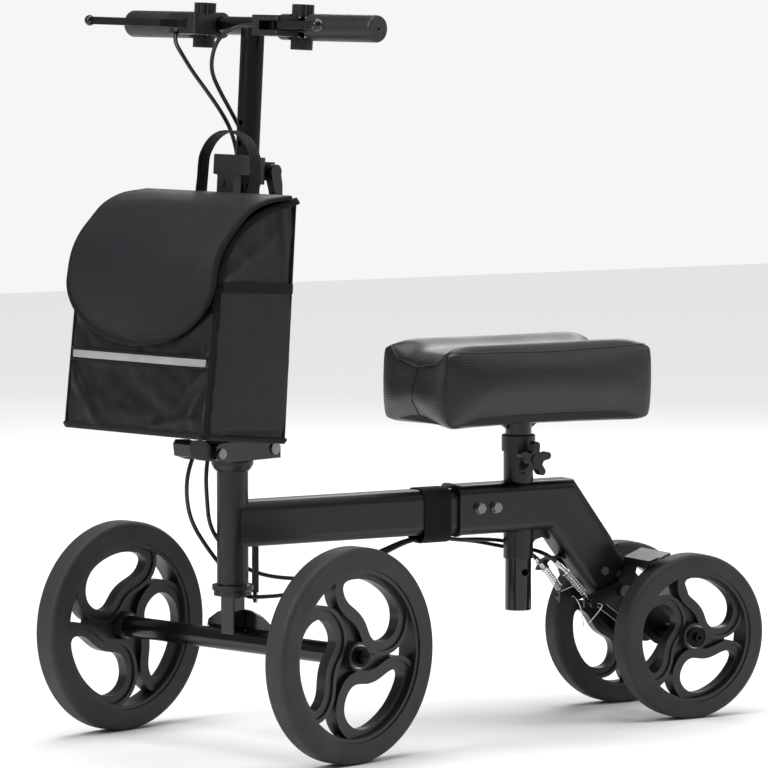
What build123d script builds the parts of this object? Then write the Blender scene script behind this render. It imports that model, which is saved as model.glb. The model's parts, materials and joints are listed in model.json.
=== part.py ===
from build123d import *
import os
from math import atan2, cos, pi, radians, sin, tan

# Knee scooter. Millimetres, +Z up, forward is -Y, the rider's left is +X.
# Three working frames are used. FRAME has the steering axis at x = y = 0 and the floor at z = 0.
# FORK is FRAME turned by the steering angle about that axis. MAST is FORK leaned back about the hinge.

# ---- driving dimensions -------------------------------------------------------------------------
STEER_DEG = 15.83            # the front assembly stands turned this far to the rider's left
RAKE_DEG = 3.7               # lean of the steering column
RAKE_Y, RAKE_Z = 2.5, 340.0  # point of the column's axis that the lean turns about
ORIGIN_X, ORIGIN_Y = 0.0, -254.6  # steering axis as seen from the object's origin

FRONT_R, REAR_R = 127.0, 101.6    # 10 inch and 8 inch wheels
WHEEL_W = 32.0
FRONT_HALF_TRACK, REAR_HALF_TRACK = 194.0, 79.5
REAR_AXLE_Y = 594.0
AXLE_R = 6.0                 # wheel bolts
RUN = 0.05                   # radial clearance of a running fit
WHEEL_PHASE = {"front_left": 14.0, "front_right": 27.0, "rear_left": 10.0, "rear_right": 48.0}

HEAD_R, HEAD_WALL = 18.7, 2.2
HEAD_LOW, HEAD_HIGH = 195.0, 329.0
STEERER_R = 12.7

BEAM_W, BEAM_H, BEAM_Z, BEAM_CORNER = 40.0, 55.0, 265.5, 12.0
BEAM_END = 362.0
SLEEVE_START, SLEEVE_WALL = 300.0, 3.0
POST_Y = 397.0               # seat post axis
SEAT_R, SOCKET_R, COLLAR_R = 16.0, 18.25, 20.5
SOCKET_LOW, SOCKET_HIGH, COLLAR_HIGH = 201.5, 335.0, 353.0
SEAT_LOW, SEAT_TOP = 138.0, 372.0
SEAT_HOLE_STEP = 46.7        # distance between the seat post's height holes
KNOB_Z = 325.0
PAD_W, PAD_LOW, PAD_HIGH = 168.0, 384.0, 469.0
PAD_FRONT, PAD_REAR = 247.0, 545.0
PAD_DIP = 15.0               # depth of the knee trough

FOLD_Y, FOLD_Z = 50.0, 353.0        # fold hinge
LATCH_Y, LATCH_Z = -38.0, 353.0     # fold latch pivot
TILLER_R, STEM_R = 16.2, 14.0
BAR_Z, BAR_R, GRIP_R = 854.0, 11.0, 16.0
GRIP_IN, GRIP_OUT = 97.0, 206.0
KNOB_X = 82.0                 # clamp knobs of the brake levers
CABLE_R = 2.5
BAG_W, BAG_WALL = 240.0, 3.0

parts = {}


# ---- frames -------------------------------------------------------------------------------------
def in_frame(shape):
    return Pos(ORIGIN_X, ORIGIN_Y, 0) * shape


def in_fork(shape):
    return in_frame(Rot(0, 0, STEER_DEG) * shape)


def raked(shape):
    return Pos(0, RAKE_Y, RAKE_Z) * Rot(-RAKE_DEG, 0, 0) * Pos(0, 0, -RAKE_Z) * shape


def in_mast(shape):
    return in_fork(raked(shape))


def fork_point(x, y, z):
    a = radians(STEER_DEG)
    return (x * cos(a) - y * sin(a), x * sin(a) + y * cos(a), z)


def mast_point(x, y, z):
    a = radians(RAKE_DEG)
    lean_y = RAKE_Y + y * cos(a) + (z - RAKE_Z) * sin(a)
    lean_z = RAKE_Z + (z - RAKE_Z) * cos(a) - y * sin(a)
    return fork_point(x, lean_y, lean_z)


def as_group(shapes):
    return Compound(children=[s for shape in shapes for s in shape.solids()])


# ---- small builders -----------------------------------------------------------------------------
def tube(r_out, r_in, low, high):
    ring = Circle(r_out) - Circle(r_in)
    return Pos(0, 0, low) * extrude(ring, high - low)


def rod_x(r, x0, x1, y=0.0, z=0.0):
    return Pos(x0, y, z) * extrude(Plane.YZ * Circle(r), x1 - x0)


def plate_yz(points, x0, x1):
    outline = make_face(Polyline(*points, close=True))
    return Pos(x0, 0, 0) * extrude(Plane.YZ * outline, x1 - x0)


def plate_xy(points, z0, z1):
    outline = make_face(Polyline(*points, close=True))
    return Pos(0, 0, z0) * extrude(outline, z1 - z0)


def block(x0, x1, y0, y1, z0, z1):
    centre = Pos((x0 + x1) / 2, (y0 + y1) / 2, (z0 + z1) / 2)
    return centre * Box(x1 - x0, y1 - y0, z1 - z0)


def turned_x(points):
    """A ring turned about the X axis. Each point is (x, radius)."""
    return revolve(make_face(Polyline(*points, close=True)), Axis.X)


def hexagon_x(across, x0, x1, y, z):
    outline = RegularPolygon(across / 2, 6, major_radius=False)
    return Pos(x0, y, z) * extrude(Plane.YZ * outline, x1 - x0)


def beside(curve, distance, steps, closed=False):
    """Points at one distance to the right of a flat curve."""
    points = []
    for i in range(steps if closed else steps + 1):
        spot, way = curve @ (i / steps), curve % (i / steps)
        points.append((spot.X + way.Y * distance, spot.Y - way.X * distance))
    return points


def both_sides(maker):
    return as_group([maker(1), maker(-1)])


def mirrored_x(shape):
    return mirror(shape, Plane.YZ)


# ---- wheels -------------------------------------------------------------------------------------
# The windows are commas: a round lobe beside the hub that runs out along the rim to a narrow tip.
# Each pair is (degrees from the lobe, distance from the hub as a share of the wheel's radius).
COMMA = [
    (0, 0.42), (7, 0.60), (20, 0.685), (46, 0.705), (72, 0.705),
    (88, 0.67), (88, 0.56), (72, 0.42), (47, 0.32), (20, 0.27),
]
EYE = [(-42, 0.55), (-42, 0.77), (-26, 0.77), (-10, 0.77), (4, 0.77), (4, 0.55)]


def polar(angle, share, radius):
    a = radians(angle)
    return (radius * share * cos(a), radius * share * sin(a))


def comma_edge(radius, turn):
    points = [polar(a + turn, s, radius) for a, s in COMMA]
    return Spline(*points, periodic=True)


def loop_face(radius, turn, share):
    """The face inside a line that runs round a window at one distance, kept inside the barrel."""
    points = beside(comma_edge(radius, turn), share * radius, 24, closed=True)
    return make_face(Spline(*points, periodic=True)) & Circle(0.80 * radius - 2)


def rim(radius):
    """Three loops with raised beads stand on a thin web. The web is open at three eyes beside the barrel."""
    seat, turns = 0.80 * radius, (0, 120, 240)
    web, loop, bead, barrel = 5.0, 14.0, 19.0, WHEEL_W - 4.0
    wheel = extrude(Plane.YZ * Circle(seat - 2), web / 2, both=True)
    for turn in turns:
        eye = make_face(Polyline(*[polar(a + turn, s, radius) for a, s in EYE], close=True))
        wheel -= extrude(Plane.YZ * eye, web, both=True)
    for turn in turns:
        outer = loop_face(radius, turn, 0.125)
        wheel += extrude(Plane.YZ * outer, loop / 2, both=True)
        wheel += extrude(Plane.YZ * (outer - loop_face(radius, turn, 0.085)), bead / 2, both=True)
    for turn in turns:
        window = make_face(comma_edge(radius, turn))
        wheel -= extrude(Plane.YZ * window, WHEEL_W, both=True)
    wheel += extrude(Plane.YZ * (Circle(seat) - Circle(seat - 5)), barrel / 2, both=True)
    wheel += extrude(Plane.YZ * Circle(17), WHEEL_W / 2, both=True)
    wheel -= extrude(Plane.YZ * Circle(9), WHEEL_W, both=True)
    for end in (-WHEEL_W / 2, WHEEL_W / 2 - 9):
        wheel -= rod_x(14.0, end, end + 9)
    return wheel


def tyre(radius):
    seat, half, shoulder = 0.80 * radius, WHEEL_W / 2, 7.0
    section = Polyline((-half, seat), (half, seat), (half, radius), (-half, radius), close=True)
    face = make_face(section)
    crown = face.vertices().sort_by(Axis.Y)[-2:]
    return revolve(fillet(crown, shoulder), Axis.X)


def wheel_bearings():
    def one(side):
        start = side * WHEEL_W / 2 - (9 if side > 0 else 0)
        return turned_x([(start, AXLE_R + RUN), (start + 9, AXLE_R + RUN), (start + 9, 14.0), (start, 14.0)])

    return both_sides(one)


def make_wheels():
    places = {
        "front_left": (FRONT_R, in_fork, FRONT_HALF_TRACK, 0.0, 0),
        "front_right": (FRONT_R, in_fork, FRONT_HALF_TRACK, 0.0, 180),
        "rear_left": (REAR_R, in_frame, REAR_HALF_TRACK, REAR_AXLE_Y, 0),
        "rear_right": (REAR_R, in_frame, REAR_HALF_TRACK, REAR_AXLE_Y, 180),
    }
    rims = {radius: rim(radius) for radius in (FRONT_R, REAR_R)}
    for name, (radius, place, half_track, y, turn) in places.items():
        spot = Pos(0, y, radius) * Rot(0, 0, turn) * Pos(half_track, 0, 0)
        parts[name + "_rim"] = place(spot * Rot(WHEEL_PHASE[name], 0, 0) * rims[radius])
        parts[name + "_tyre"] = place(spot * tyre(radius))
        parts[name + "_bearings"] = place(spot * wheel_bearings())


# ---- frame --------------------------------------------------------------------------------------
def beam_section(width, height, corner):
    """A rounded box section that stands in the XZ plane and is centred on the beam."""
    section = Plane.XZ * RectangleRounded(width, height, corner)
    return Pos(0, 0, BEAM_Z) * section


def beam_length(width, height, corner, y0, y1):
    return Pos(0, y0, 0) * extrude(beam_section(width, height, corner), -(y1 - y0))


BEAM_BOLTS = [(328.0, 268.0), (351.0, 268.0)]
LEG_SCREWS = [(507.0, 181.0), (530.0, 174.0)]


GUIDE_Y, GUIDE_Z = 30.5, 176.5   # ring under the head tube that one cable runs through


def main_beam():
    beam = beam_length(BEAM_W, BEAM_H, BEAM_CORNER, 0, BEAM_END)
    beam -= beam_length(BEAM_W - 5, BEAM_H - 5, BEAM_CORNER - 2.5, 0, BEAM_END + 1)
    beam -= Pos(0, 0, HEAD_LOW) * Cylinder(HEAD_R, 200, align=(Align.CENTER, Align.CENTER, Align.MIN))
    beam = beam.solids().sort_by(Axis.Y)[-1]
    head = tube(HEAD_R, HEAD_R - HEAD_WALL, HEAD_LOW, HEAD_HIGH)
    guide = block(-2.2, 2.2, 27.0, 34.0, GUIDE_Z + 5.5, 239.0)
    eye_ring = Plane.XZ * (Circle(7.0) - Circle(CABLE_R + 0.6))
    eye = Pos(0, GUIDE_Y, GUIDE_Z) * Rot(0, 0, -38.0) * extrude(eye_ring, 2.0, both=True)
    body = beam + head + guide + eye
    for y, z in BEAM_BOLTS:
        body -= rod_x(4.05, -40, 40, y, z)
    return body


LEG_OUTLINE = [(300, 235), (431, 235), (505, 139), (545, 190), (467, 296), (300, 296)]


def rear_frame():
    half = BEAM_W / 2 + SLEEVE_WALL
    body = plate_yz(LEG_OUTLINE, -half, half)
    side_edges = [e for e in body.edges() if abs(abs(e.center().X) - half) < 0.01]
    end_middles = (SLEEVE_START, 525.0)
    long_edges = [e for e in side_edges if all(abs(e.center().Y - y) > 0.01 for y in end_middles)]
    body = fillet(long_edges, 11.0)
    body -= beam_length(BEAM_W, BEAM_H, BEAM_CORNER, SLEEVE_START - 1, BEAM_END + 8)
    hollow = [(430, 242), (436, 238), (520, 129.0), (560, 170), (558, 179), (462, 290), (430, 290)]
    body -= plate_yz(hollow, -BEAM_W / 2, BEAM_W / 2)
    body -= Pos(0, POST_Y, 200) * Cylinder(SOCKET_R, 140, align=(Align.CENTER, Align.CENTER, Align.MIN))
    web = [(415.5, 238), (415.5, 216), (420, 222), (430, 225), (437, 222), (441, 222), (431, 238)]
    body += plate_yz(web, -2, 2)
    bead = beam_section(2 * half + 3, 64, 13) - beam_section(2 * half - 1, 60, 11.5)
    body += Pos(0, SLEEVE_START, 0) * extrude(bead, -4)
    for y, z in BEAM_BOLTS:
        body -= rod_x(4.05, -40, 40, y, z)
    for y, z in LEG_SCREWS:
        body -= rod_x(3.05, -40, 40, y, z)
    return body


def axle_plates():
    """Two flat plates bolted inside the leg. They carry the rear axle."""
    a = atan2(REAR_R - 181.0, REAR_AXLE_Y - 507.0)
    corners = [(493, 166), (511, 142), (514, 138)]
    low = (REAR_AXLE_Y + 18 * sin(a), REAR_R - 18 * cos(a))
    high = (REAR_AXLE_Y - 18 * sin(a), REAR_R + 18 * cos(a))

    def one(side):
        x0 = 16.0 if side > 0 else -19.95
        plate = plate_yz(corners + [low, high, (548, 184), (535, 192), (522, 199)], x0, x0 + 3.95)
        plate += rod_x(18, x0, x0 + 3.95, REAR_AXLE_Y, REAR_R)
        plate -= rod_x(AXLE_R, -40, 40, REAR_AXLE_Y, REAR_R)
        plate -= rod_x(4.0, -40, 40, BRAKE_PIVOT_Y, BRAKE_PIVOT_Z)
        for y, z in LEG_SCREWS:
            plate -= rod_x(3.05, -40, 40, y, z)
        return plate

    return both_sides(one)


def rear_axle():
    axle = rod_x(AXLE_R, -101, 101, REAR_AXLE_Y, REAR_R)

    def fittings(side):
        spacer = turned_x([(20.0, AXLE_R), (20.0, 10.0), (56.0, 10.0), (56.0, 13.0), (63.0, 13.0), (63.0, AXLE_R)])
        cap = turned_x([(96.0, AXLE_R), (96.0, 13.0), (98.5, 13.0), (100.0, 11.0), (100.0, AXLE_R)])
        head = Pos(100, 0, 0) * extrude(Plane.YZ * (Circle(5.5) - RegularPolygon(2.5, 6)), 4)
        shape = spacer + cap + (head - rod_x(AXLE_R, 90, 101.0))
        placed = Pos(0, REAR_AXLE_Y, REAR_R) * shape
        return placed if side > 0 else mirrored_x(placed)

    return as_group([axle + fittings(1) + fittings(-1)])


def seat_socket():
    socket = tube(SOCKET_R, SEAT_R + 0.08, SOCKET_LOW, SOCKET_HIGH)
    socket += rod_x(8.0, SOCKET_R - 1.5, 27.0, 0, KNOB_Z) - Cylinder(SEAT_R + 0.08, 1000)
    socket += rod_x(5.0, -SOCKET_R - 3.5, -SOCKET_R + 1.5, 0, KNOB_Z) - Cylinder(SEAT_R + 0.08, 1000)
    socket -= rod_x(4.05, 0, 40, 0, KNOB_Z)
    return Pos(0, POST_Y, 0) * socket


def socket_collar():
    collar = tube(COLLAR_R, SEAT_R + 0.08, SOCKET_HIGH, COLLAR_HIGH)
    skirt = tube(COLLAR_R, SOCKET_R, SOCKET_HIGH - 2.0, SOCKET_HIGH)
    collar = collar + skirt
    return Pos(0, POST_Y, 0) * chamfer(collar.edges().group_by(Axis.Z)[-1].sort_by(SortBy.LENGTH)[-1:], 1.2)


def frame_bolts():
    half = BEAM_W / 2 + SLEEVE_WALL
    solids = []
    for y, z in BEAM_BOLTS:
        head = rod_x(7.0, half, half + 1.2, y, z) + hexagon_x(11.0, half + 1.2, half + 6, y, z)
        nut = rod_x(7.0, -half - 1.2, -half, y, z) + hexagon_x(11.0, -half - 6, -half - 1.2, y, z)
        solids.append(head + nut + rod_x(4.0, -half, half, y, z))
    for y, z in LEG_SCREWS:
        for side in (1, -1):
            head = rod_x(5.2, half, half + 3.0, y, z) - rod_x(2.2, half + 1.5, half + 5, y, z)
            screw = head + rod_x(3.0, 14.0, half, y, z)
            solids.append(screw if side > 0 else mirrored_x(screw))
    return as_group(solids + [brake_pivots()])


def cable_strap():
    """Hook-and-loop strap round the beam, with room for two cables under it."""
    inner_low = BEAM_Z - BEAM_H / 2 - 2 * CABLE_R - 3.0
    top = BEAM_Z + BEAM_H / 2
    height, middle = top - inner_low, (top + inner_low) / 2
    inner = RectangleRounded(BEAM_W, height, BEAM_CORNER)
    outer = RectangleRounded(BEAM_W + 3.6, height + 3.6, BEAM_CORNER + 1.8)
    ring = Pos(0, 252, middle) * extrude(Plane.XZ * (outer - inner), -37)
    beam = beam_length(BEAM_W, BEAM_H, BEAM_CORNER, 200, 300)
    return ring - beam


def head_cups():
    upper = Pos(0, 0, HEAD_HIGH) * revolve(
        make_face(
            Polyline(
                (13.2, 0), (19.5, 0), (22.0, 2.5), (25.0, 8.0),
                (25.0, 11.5), (19.0, 11.5), (19.0, 2), (13.2, 2), close=True,
            )
        ).rotate(Axis.X, 90),
        Axis.Z,
    )
    lower = Pos(0, 0, HEAD_LOW) * revolve(
        make_face(
            Polyline(
                (13.2, 0), (19.0, 0), (24.5, -1.5), (24.5, -7.0), (22.5, -9.0),
                (22.5, -14), (19, -14), (19, -2), (13.2, -2), close=True,
            )
        ).rotate(Axis.X, 90),
        Axis.Z,
    )
    return as_group([upper, lower])


def head_bearings():
    upper = tube(18.95, STEERER_R + RUN, HEAD_HIGH + 2.0, HEAD_HIGH + 9.0)
    lower = tube(18.95, STEERER_R + RUN, HEAD_LOW - 9.0, HEAD_LOW - 2.0)
    return as_group([upper, lower])


ADJUSTER = {1: (24.0, 446.0, 187.4), -1: (-24.0, 446.0, 187.4)}
ADJUSTER_LEAN = 45.0               # the barrels lean forward
ADJUSTER_YAW = {1: -20.0, -1: 0.0}  # and the left one is turned towards its cable
ADJUSTER_TIP = 12.5


def adjuster_way(side):
    """Unit vector up an adjuster's barrel, towards its cable."""
    lean, yaw = radians(ADJUSTER_LEAN), radians(ADJUSTER_YAW[side])
    return Vector(sin(lean) * sin(yaw), -sin(lean) * cos(yaw), cos(lean))


def on_adjuster(side, distance):
    return tuple(Vector(*ADJUSTER[side]) + adjuster_way(side) * distance)


def adjuster_rod(side, radius, start, end):
    foot = Plane(origin=on_adjuster(side, start), z_dir=adjuster_way(side))
    return extrude(foot * Circle(radius), end - start)


def brake_plate():
    """Bent strip under the leg that holds the ends of both cable sleeves."""
    arch = Plane.XZ * (Circle(33.0) - Circle(30.0))
    strip = Pos(0, 440, 167.0) * extrude(arch, -12)
    strip &= block(-33, 33, 400, 500, 180.5, 230)
    foot = plate_yz([(440, 197.0), (460.2, 197.0), (458.1, 199.7), (440, 199.7)], -9, 9)
    body = strip + foot
    for side in (1, -1):
        body -= adjuster_rod(side, 4.2, -4.0, 14)
        body -= adjuster_rod(side, 6.0, -16, -4.0)
    return body


def cable_adjusters():
    def one(side):
        barrel = adjuster_rod(side, 4.2, -6.5, 6.5) + adjuster_rod(side, 3.0, 6.5, ADJUSTER_TIP)
        barrel += adjuster_rod(side, 5.6, -7.5, -4.0)
        return barrel - adjuster_rod(side, 0.9, -20, 20)

    return both_sides(one)


BRAKE_PIVOT_Y, BRAKE_PIVOT_Z = 530.0, 156.0
CLAMP_Y, CLAMP_Z = 481.0, 144.5
BRAKE_IN, BRAKE_OUT = 24.2, 34.0


def brake_arm(side):
    """Pressed lever: cable clamp in front, shoe over the tyre behind."""
    x0, x1 = BRAKE_IN + 2.3, BRAKE_IN + 6.3
    outline = [(474, 138), (486, 137), (528, 146), (542, 151), (553, 197), (541, 199), (522, 166), (474, 151)]
    bar = plate_yz(outline, x0, x1)
    bar += rod_x(9.0, x0 - 1.8, x1 + 1.6, BRAKE_PIVOT_Y, BRAKE_PIVOT_Z)
    bar -= rod_x(4.05, 0, 60, BRAKE_PIVOT_Y, BRAKE_PIVOT_Z)
    tread = [(533.5, 188), (536, 188), (536.4, 195), (560, 204.5), (559, 207.2), (533.5, 197.4)]
    shoe = plate_yz(tread, x0, 91.0)
    shoe -= Pos(91, 0, 186) * Rot(0, 30, 0) * Box(24, 1200, 24)
    bolt = rod_x(3.0, x1, x1 + 6, CLAMP_Y, CLAMP_Z) + hexagon_x(9.0, x1 + 6, x1 + 10, CLAMP_Y, CLAMP_Z)
    bolt += rod_x(5.2, x1, x1 + 4.0, CLAMP_Y, CLAMP_Z)
    arm = bar + shoe + bolt
    return arm if side > 0 else mirrored_x(arm)


def brake_pivots():
    """Shouldered bolt through the axle plates. Both brake arms turn on it."""
    bolt = rod_x(4.0, -BRAKE_OUT, BRAKE_OUT, BRAKE_PIVOT_Y, BRAKE_PIVOT_Z)
    for x in (BRAKE_OUT, -BRAKE_OUT - 3):
        bolt += rod_x(7.0, x, x + 3, BRAKE_PIVOT_Y, BRAKE_PIVOT_Z)
    return bolt


def brake_springs():
    """Closed outer shape of the return springs between the adjusters and the clamp bolts."""
    def one(side):
        start = Vector(*on_adjuster(side, -10.5))
        way = Vector(side * 28.5, 474.0, 156.5) - start
        ring = Plane(origin=start, z_dir=way) * (Circle(4.5) - Circle(1.2))
        return extrude(ring, way.length)

    return both_sides(one)


# ---- fork ---------------------------------------------------------------------------------------
def fork_post():
    post = block(-11, 11, -10, 10, FRONT_R, 180)
    post = fillet(post.edges().filter_by(Axis.Z), 2.0)
    post -= rod_x(12.75, -40, 40, 0, FRONT_R)
    steerer = tube(STEERER_R, 9.5, 178, HEAD_HIGH + 12.5)
    return post.solids().sort_by(Axis.Z)[-1] + steerer


def front_axle_tube():
    body = rod_x(12.7, -174, 174, 0, FRONT_R) - rod_x(10.5, -140, 140, 0, FRONT_R)
    return body - rod_x(AXLE_R, -200, 200, 0, FRONT_R)


def axle_gusset():
    """Pressed plate welded behind the post, standing on the axle tube."""
    outline = [(-54, 139.0), (54, 139.0), (52, 147), (36, 157), (16, 163), (-16, 163), (-36, 157), (-52, 147)]
    face = make_face(Polyline(*outline, close=True))
    plate = Pos(0, 14.0, 0) * extrude(Plane.XZ * face, 4.0)
    plate -= rod_x(12.75, -80, 80, 0, FRONT_R)
    foot = block(-50, 50, 5.0, 10.0, 136.0, 139.0) - rod_x(12.75, -80, 80, 0, FRONT_R)
    return plate + (foot - block(-11, 11, -10, 10, 100, 200))


def gusset_bolts():
    def one(side):
        head = Pos(side * 17, 14, 154) * extrude(Plane.XZ * RegularPolygon(5.5, 6, major_radius=False), -6.0)
        return head + Pos(side * 17, 20, 154) * extrude(Plane.XZ * Circle(3.0), -7.0)

    return both_sides(one)


def front_axle():
    """Wheel bolt with its washers, dust caps and domed nuts."""
    def end(side):
        inner = turned_x([(174, AXLE_R), (174, 13.5), (177.5, 13.5), (177.5, AXLE_R)])
        cap = turned_x([(210.5, AXLE_R), (210.5, 12.5), (213.0, 12.5), (213.0, AXLE_R)])
        nut = hexagon_x(15.0, 213.0, 219.0, 0, 0) - rod_x(AXLE_R, 200, 216)
        dome = turned_x([(219, 0), (219, 6.5), (221, 5.8), (223, 3.6), (224, 0)])
        shape = Pos(0, 0, FRONT_R) * (inner + cap + nut + dome)
        return shape if side > 0 else mirrored_x(shape)

    return rod_x(AXLE_R, -216, 216, 0, FRONT_R) + end(1) + end(-1)


def hinge_base():
    plate = block(-20.5, 20.5, -30, 60, HEAD_HIGH + 12.5, HEAD_HIGH + 15.5)
    ear = [
        (-46, 347), (-46, 362), (-40, 365), (-10, 365), (22, 361),
        (52, 362), (60, 356), (60, 341.5), (-30, 341.5),
    ]
    body = plate + plate_yz(ear, 17.5, 20.5) + plate_yz(ear, -20.5, -17.5)
    body -= rod_x(4.0, -40, 40, FOLD_Y, FOLD_Z)
    body -= rod_x(3.0, -40, 40, LATCH_Y, LATCH_Z)
    return body


def hinge_pins():
    def pin(r, head, y, z):
        shank = rod_x(r, -22.0, 22.0, y, z)
        ends = rod_x(head, 20.5, 23.0, y, z) + rod_x(head, -23.0, -20.5, y, z)
        return shank + ends

    return as_group([pin(4.0, 7.0, FOLD_Y, FOLD_Z), pin(3.0, 6.2, LATCH_Y, LATCH_Z)])


def fold_latch():
    arm = [(-38, 360), (-46, 361), (-62, 370), (-80, 371), (-84, 366), (-82, 352), (-64, 346.5), (-38, 346)]
    lever = plate_yz(arm, -14, 14) + rod_x(7.0, -17.2, 17.2, LATCH_Y, LATCH_Z)
    lever -= block(-8, 8, -78, -47, 340, 380)
    return lever - rod_x(3.05, -40, 40, LATCH_Y, LATCH_Z)


# ---- mast ---------------------------------------------------------------------------------------
def hinge_top():
    outline = [(-27, 346.5), (-27, 362), (-18, 372), (22, 372), (42, 361), (50, 361), (50, 345.2), (40, 346.5)]
    body = plate_yz(outline, -16.8, 16.8) + rod_x(8.0, -17.2, 17.2, FOLD_Y, FOLD_Z)
    body += raked(tube(20.5, TILLER_R, 374.5, 400.0))
    body += raked(Pos(0, 0, 367) * Cylinder(16.5, 7.6, align=(Align.CENTER, Align.CENTER, Align.MIN)))
    return body - rod_x(4.05, -40, 40, FOLD_Y, FOLD_Z)


def tiller_tube():
    return tube(TILLER_R, STEM_R + 0.08, 374.6, 700.0)


def height_clamp():
    ring = tube(21.5, TILLER_R, 668, 700)
    lugs = block(3.5, 9.5, 14, 37, 673, 695) + block(-9.5, -3.5, 14, 37, 673, 695)
    lugs -= Pos(0, 0, 680) * Cylinder(TILLER_R + 2, 60)
    body = ring + lugs - block(-2, 2, 10, 30, 660, 710)
    return body - rod_x(3.05, -30, 30, 29, 684)


def clamp_lever():
    arm = [(23, 690), (35, 690), (40, 668), (41, 645), (36, 638), (31, 642), (28, 660), (22, 676)]
    lever = plate_yz(arm, 10.0, 21.0) + rod_x(8.5, 10.0, 21.0, 29, 684)
    return lever + rod_x(3.0, -16.0, 10.0, 29, 684) + hexagon_x(10.0, -15.0, -10.0, 29, 684)


def bag_bracket():
    head = block(-23, 23, -32.5, -17.0, 678, 702)
    legs = block(-16, 12, -32.5, -20.5, 640, 678)
    foot = block(-9, 9, -24, -12, 672, 702)
    body = fillet((head + legs).edges().filter_by(Axis.Y), 2.0) + foot
    body -= Pos(0, 0, 600) * Cylinder(21.5, 200, align=(Align.CENTER, Align.CENTER, Align.MIN))
    screw = Pos(-7, -32.5, 668) * extrude(Plane.XZ * Circle(4.0), 1.6)
    return body.solids().sort_by(SortBy.VOLUME)[-1] + screw


BAG_FOOT, BAG_SHOULDER, BAG_CREST = (-165, 377), (-155, 553), (-119, 617)
LID_HINGE_Y, LID_HINGE_Z = -46.0, 654.0


def bag_profile():
    back = Polyline((-46, 647), (-46, 651.5), (-34, 653), (-36, 372), BAG_FOOT)
    return make_face([Line(BAG_FOOT, BAG_SHOULDER), ThreePointArc(BAG_SHOULDER, BAG_CREST, (-46, 647)), back])


def bag_shell():
    outer = Pos(-BAG_W / 2, 0, 0) * extrude(Plane.YZ * bag_profile(), BAG_W)
    w = BAG_WALL
    hollow = [(-165 + w, 377 + w), (-155 + w, 553), (-152, 700), (-46 - w, 700), (-46 - w, 640), (-34 - w, 636)]
    return outer - plate_yz(hollow + [(-36 - w, 372 + w)], -BAG_W / 2 + w, BAG_W / 2 - w)


LID_TOP = [
    (-46.3, 655), (-84, 649), (-112, 637), (-132, 619),
    (-150, 599), (-162, 577), (-166.5, 550), (-167.5, 482),
]


def bag_lid():
    top = Spline(*LID_TOP)
    under = Spline(*beside(top, -3.0, 14))
    band = make_face([top, Line(top @ 1, under @ 1), under, Line(under @ 0, top @ 0)])
    lid = Pos(-122, 0, 0) * extrude(Plane.YZ * band, 244)
    outline = Pos(0, 620, 0) * Rectangle(244, 140) + Pos(0, 550, 0) * Ellipse(122, 66)
    return lid & extrude(Plane.XZ * outline, 400, both=True)


def mesh_pockets():
    outline = [(-157, 384), (-150, 548), (-40, 540), (-41, 380)]
    return both_sides(lambda s: plate_yz(outline, 120.0, 121.2) if s > 0 else plate_yz(outline, -121.2, -120.0))


def bag_handle():
    """Webbing loop on the top edge of the bag's back."""
    arch = Circle(46.5) - Circle(43.5) - Pos(0, -50, 0) * Rectangle(120, 100)
    legs = Pos(45, -35, 0) * Rectangle(3, 70) + Pos(-45, -35, 0) * Rectangle(3, 70)
    loop = Pos(0, -20, 684) * extrude(Plane.XZ * (arch + legs), 18.0)
    return loop - block(-100, 100, -100, 0, 500, 653.2)


# ---- bars ---------------------------------------------------------------------------------------
def stem_tube():
    stem = tube(STEM_R, 12.3, 500, BAR_Z)
    stem -= rod_x(BAR_R, -60, 60, 0, BAR_Z)
    for step in range(7):
        hole = Pos(0, 0, 740 - 25 * step) * extrude(Plane.XZ * Circle(3.2), 30)
        stem -= hole
    return stem.solids().sort_by(SortBy.VOLUME)[-1]


def handlebar():
    bar = rod_x(BAR_R, -196, 196, 0, BAR_Z) - rod_x(9.4, -200, 200, 0, BAR_Z)
    for side in (1, -1):
        bar -= Pos(side * KNOB_X, 0, BAR_Z) * Cylinder(3.0 + RUN, 60)
    return bar




def grips():
    def one(side):
        profile = [(GRIP_IN, BAR_R), (GRIP_IN, 14.5), (GRIP_IN + 2, GRIP_R)]
        profile += [(GRIP_OUT - 3, GRIP_R), (GRIP_OUT - 1, 15.2)]
        profile += [(GRIP_OUT, 14.0), (GRIP_OUT, 1.8), (196.0, 1.8), (196.0, BAR_R)]
        grip = Pos(0, 0, BAR_Z) * turned_x(profile)
        return grip if side > 0 else mirrored_x(grip)

    return both_sides(one)


LEVER_X, LEVER_Y = 76.0, -36.0


def lever_housings():
    def one(side):
        ring = turned_x([(52, BAR_R), (66, BAR_R), (66, 15.5), (52, 15.5)])
        body = Pos(0, 0, BAR_Z) * ring
        case = fillet(block(46, 92, -50, -14.2, BAR_Z - 12, BAR_Z + 12).edges().filter_by(Axis.Z), 4.0)
        case -= Pos(KNOB_X, 0, BAR_Z) * Cylinder(13.6, 60)
        bridge = block(52, 66, -20, -9.5, BAR_Z - 11, BAR_Z + 11) - rod_x(BAR_R, 0, 200, 0, BAR_Z)
        body += case + bridge
        body -= block(60, 100, -60, -24, BAR_Z - 5.5, BAR_Z + 5.5)
        body += Pos(LEVER_X, LEVER_Y, BAR_Z) * Cylinder(3.0, 16)
        if side > 0:
            return body
        boss = right_cable_boss() - block(-100, -40, -60, -24, BAR_Z - 5.5, 900)
        return mirrored_x(body) + boss

    return both_sides(one)


BOSS_START, BOSS_END = Vector(-81, -46, 850), Vector(-77.5, -51, 842)


def right_cable_boss():
    way = BOSS_END - BOSS_START
    return extrude(Plane(origin=BOSS_START, z_dir=way) * Circle(4.2), way.length)


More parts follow.
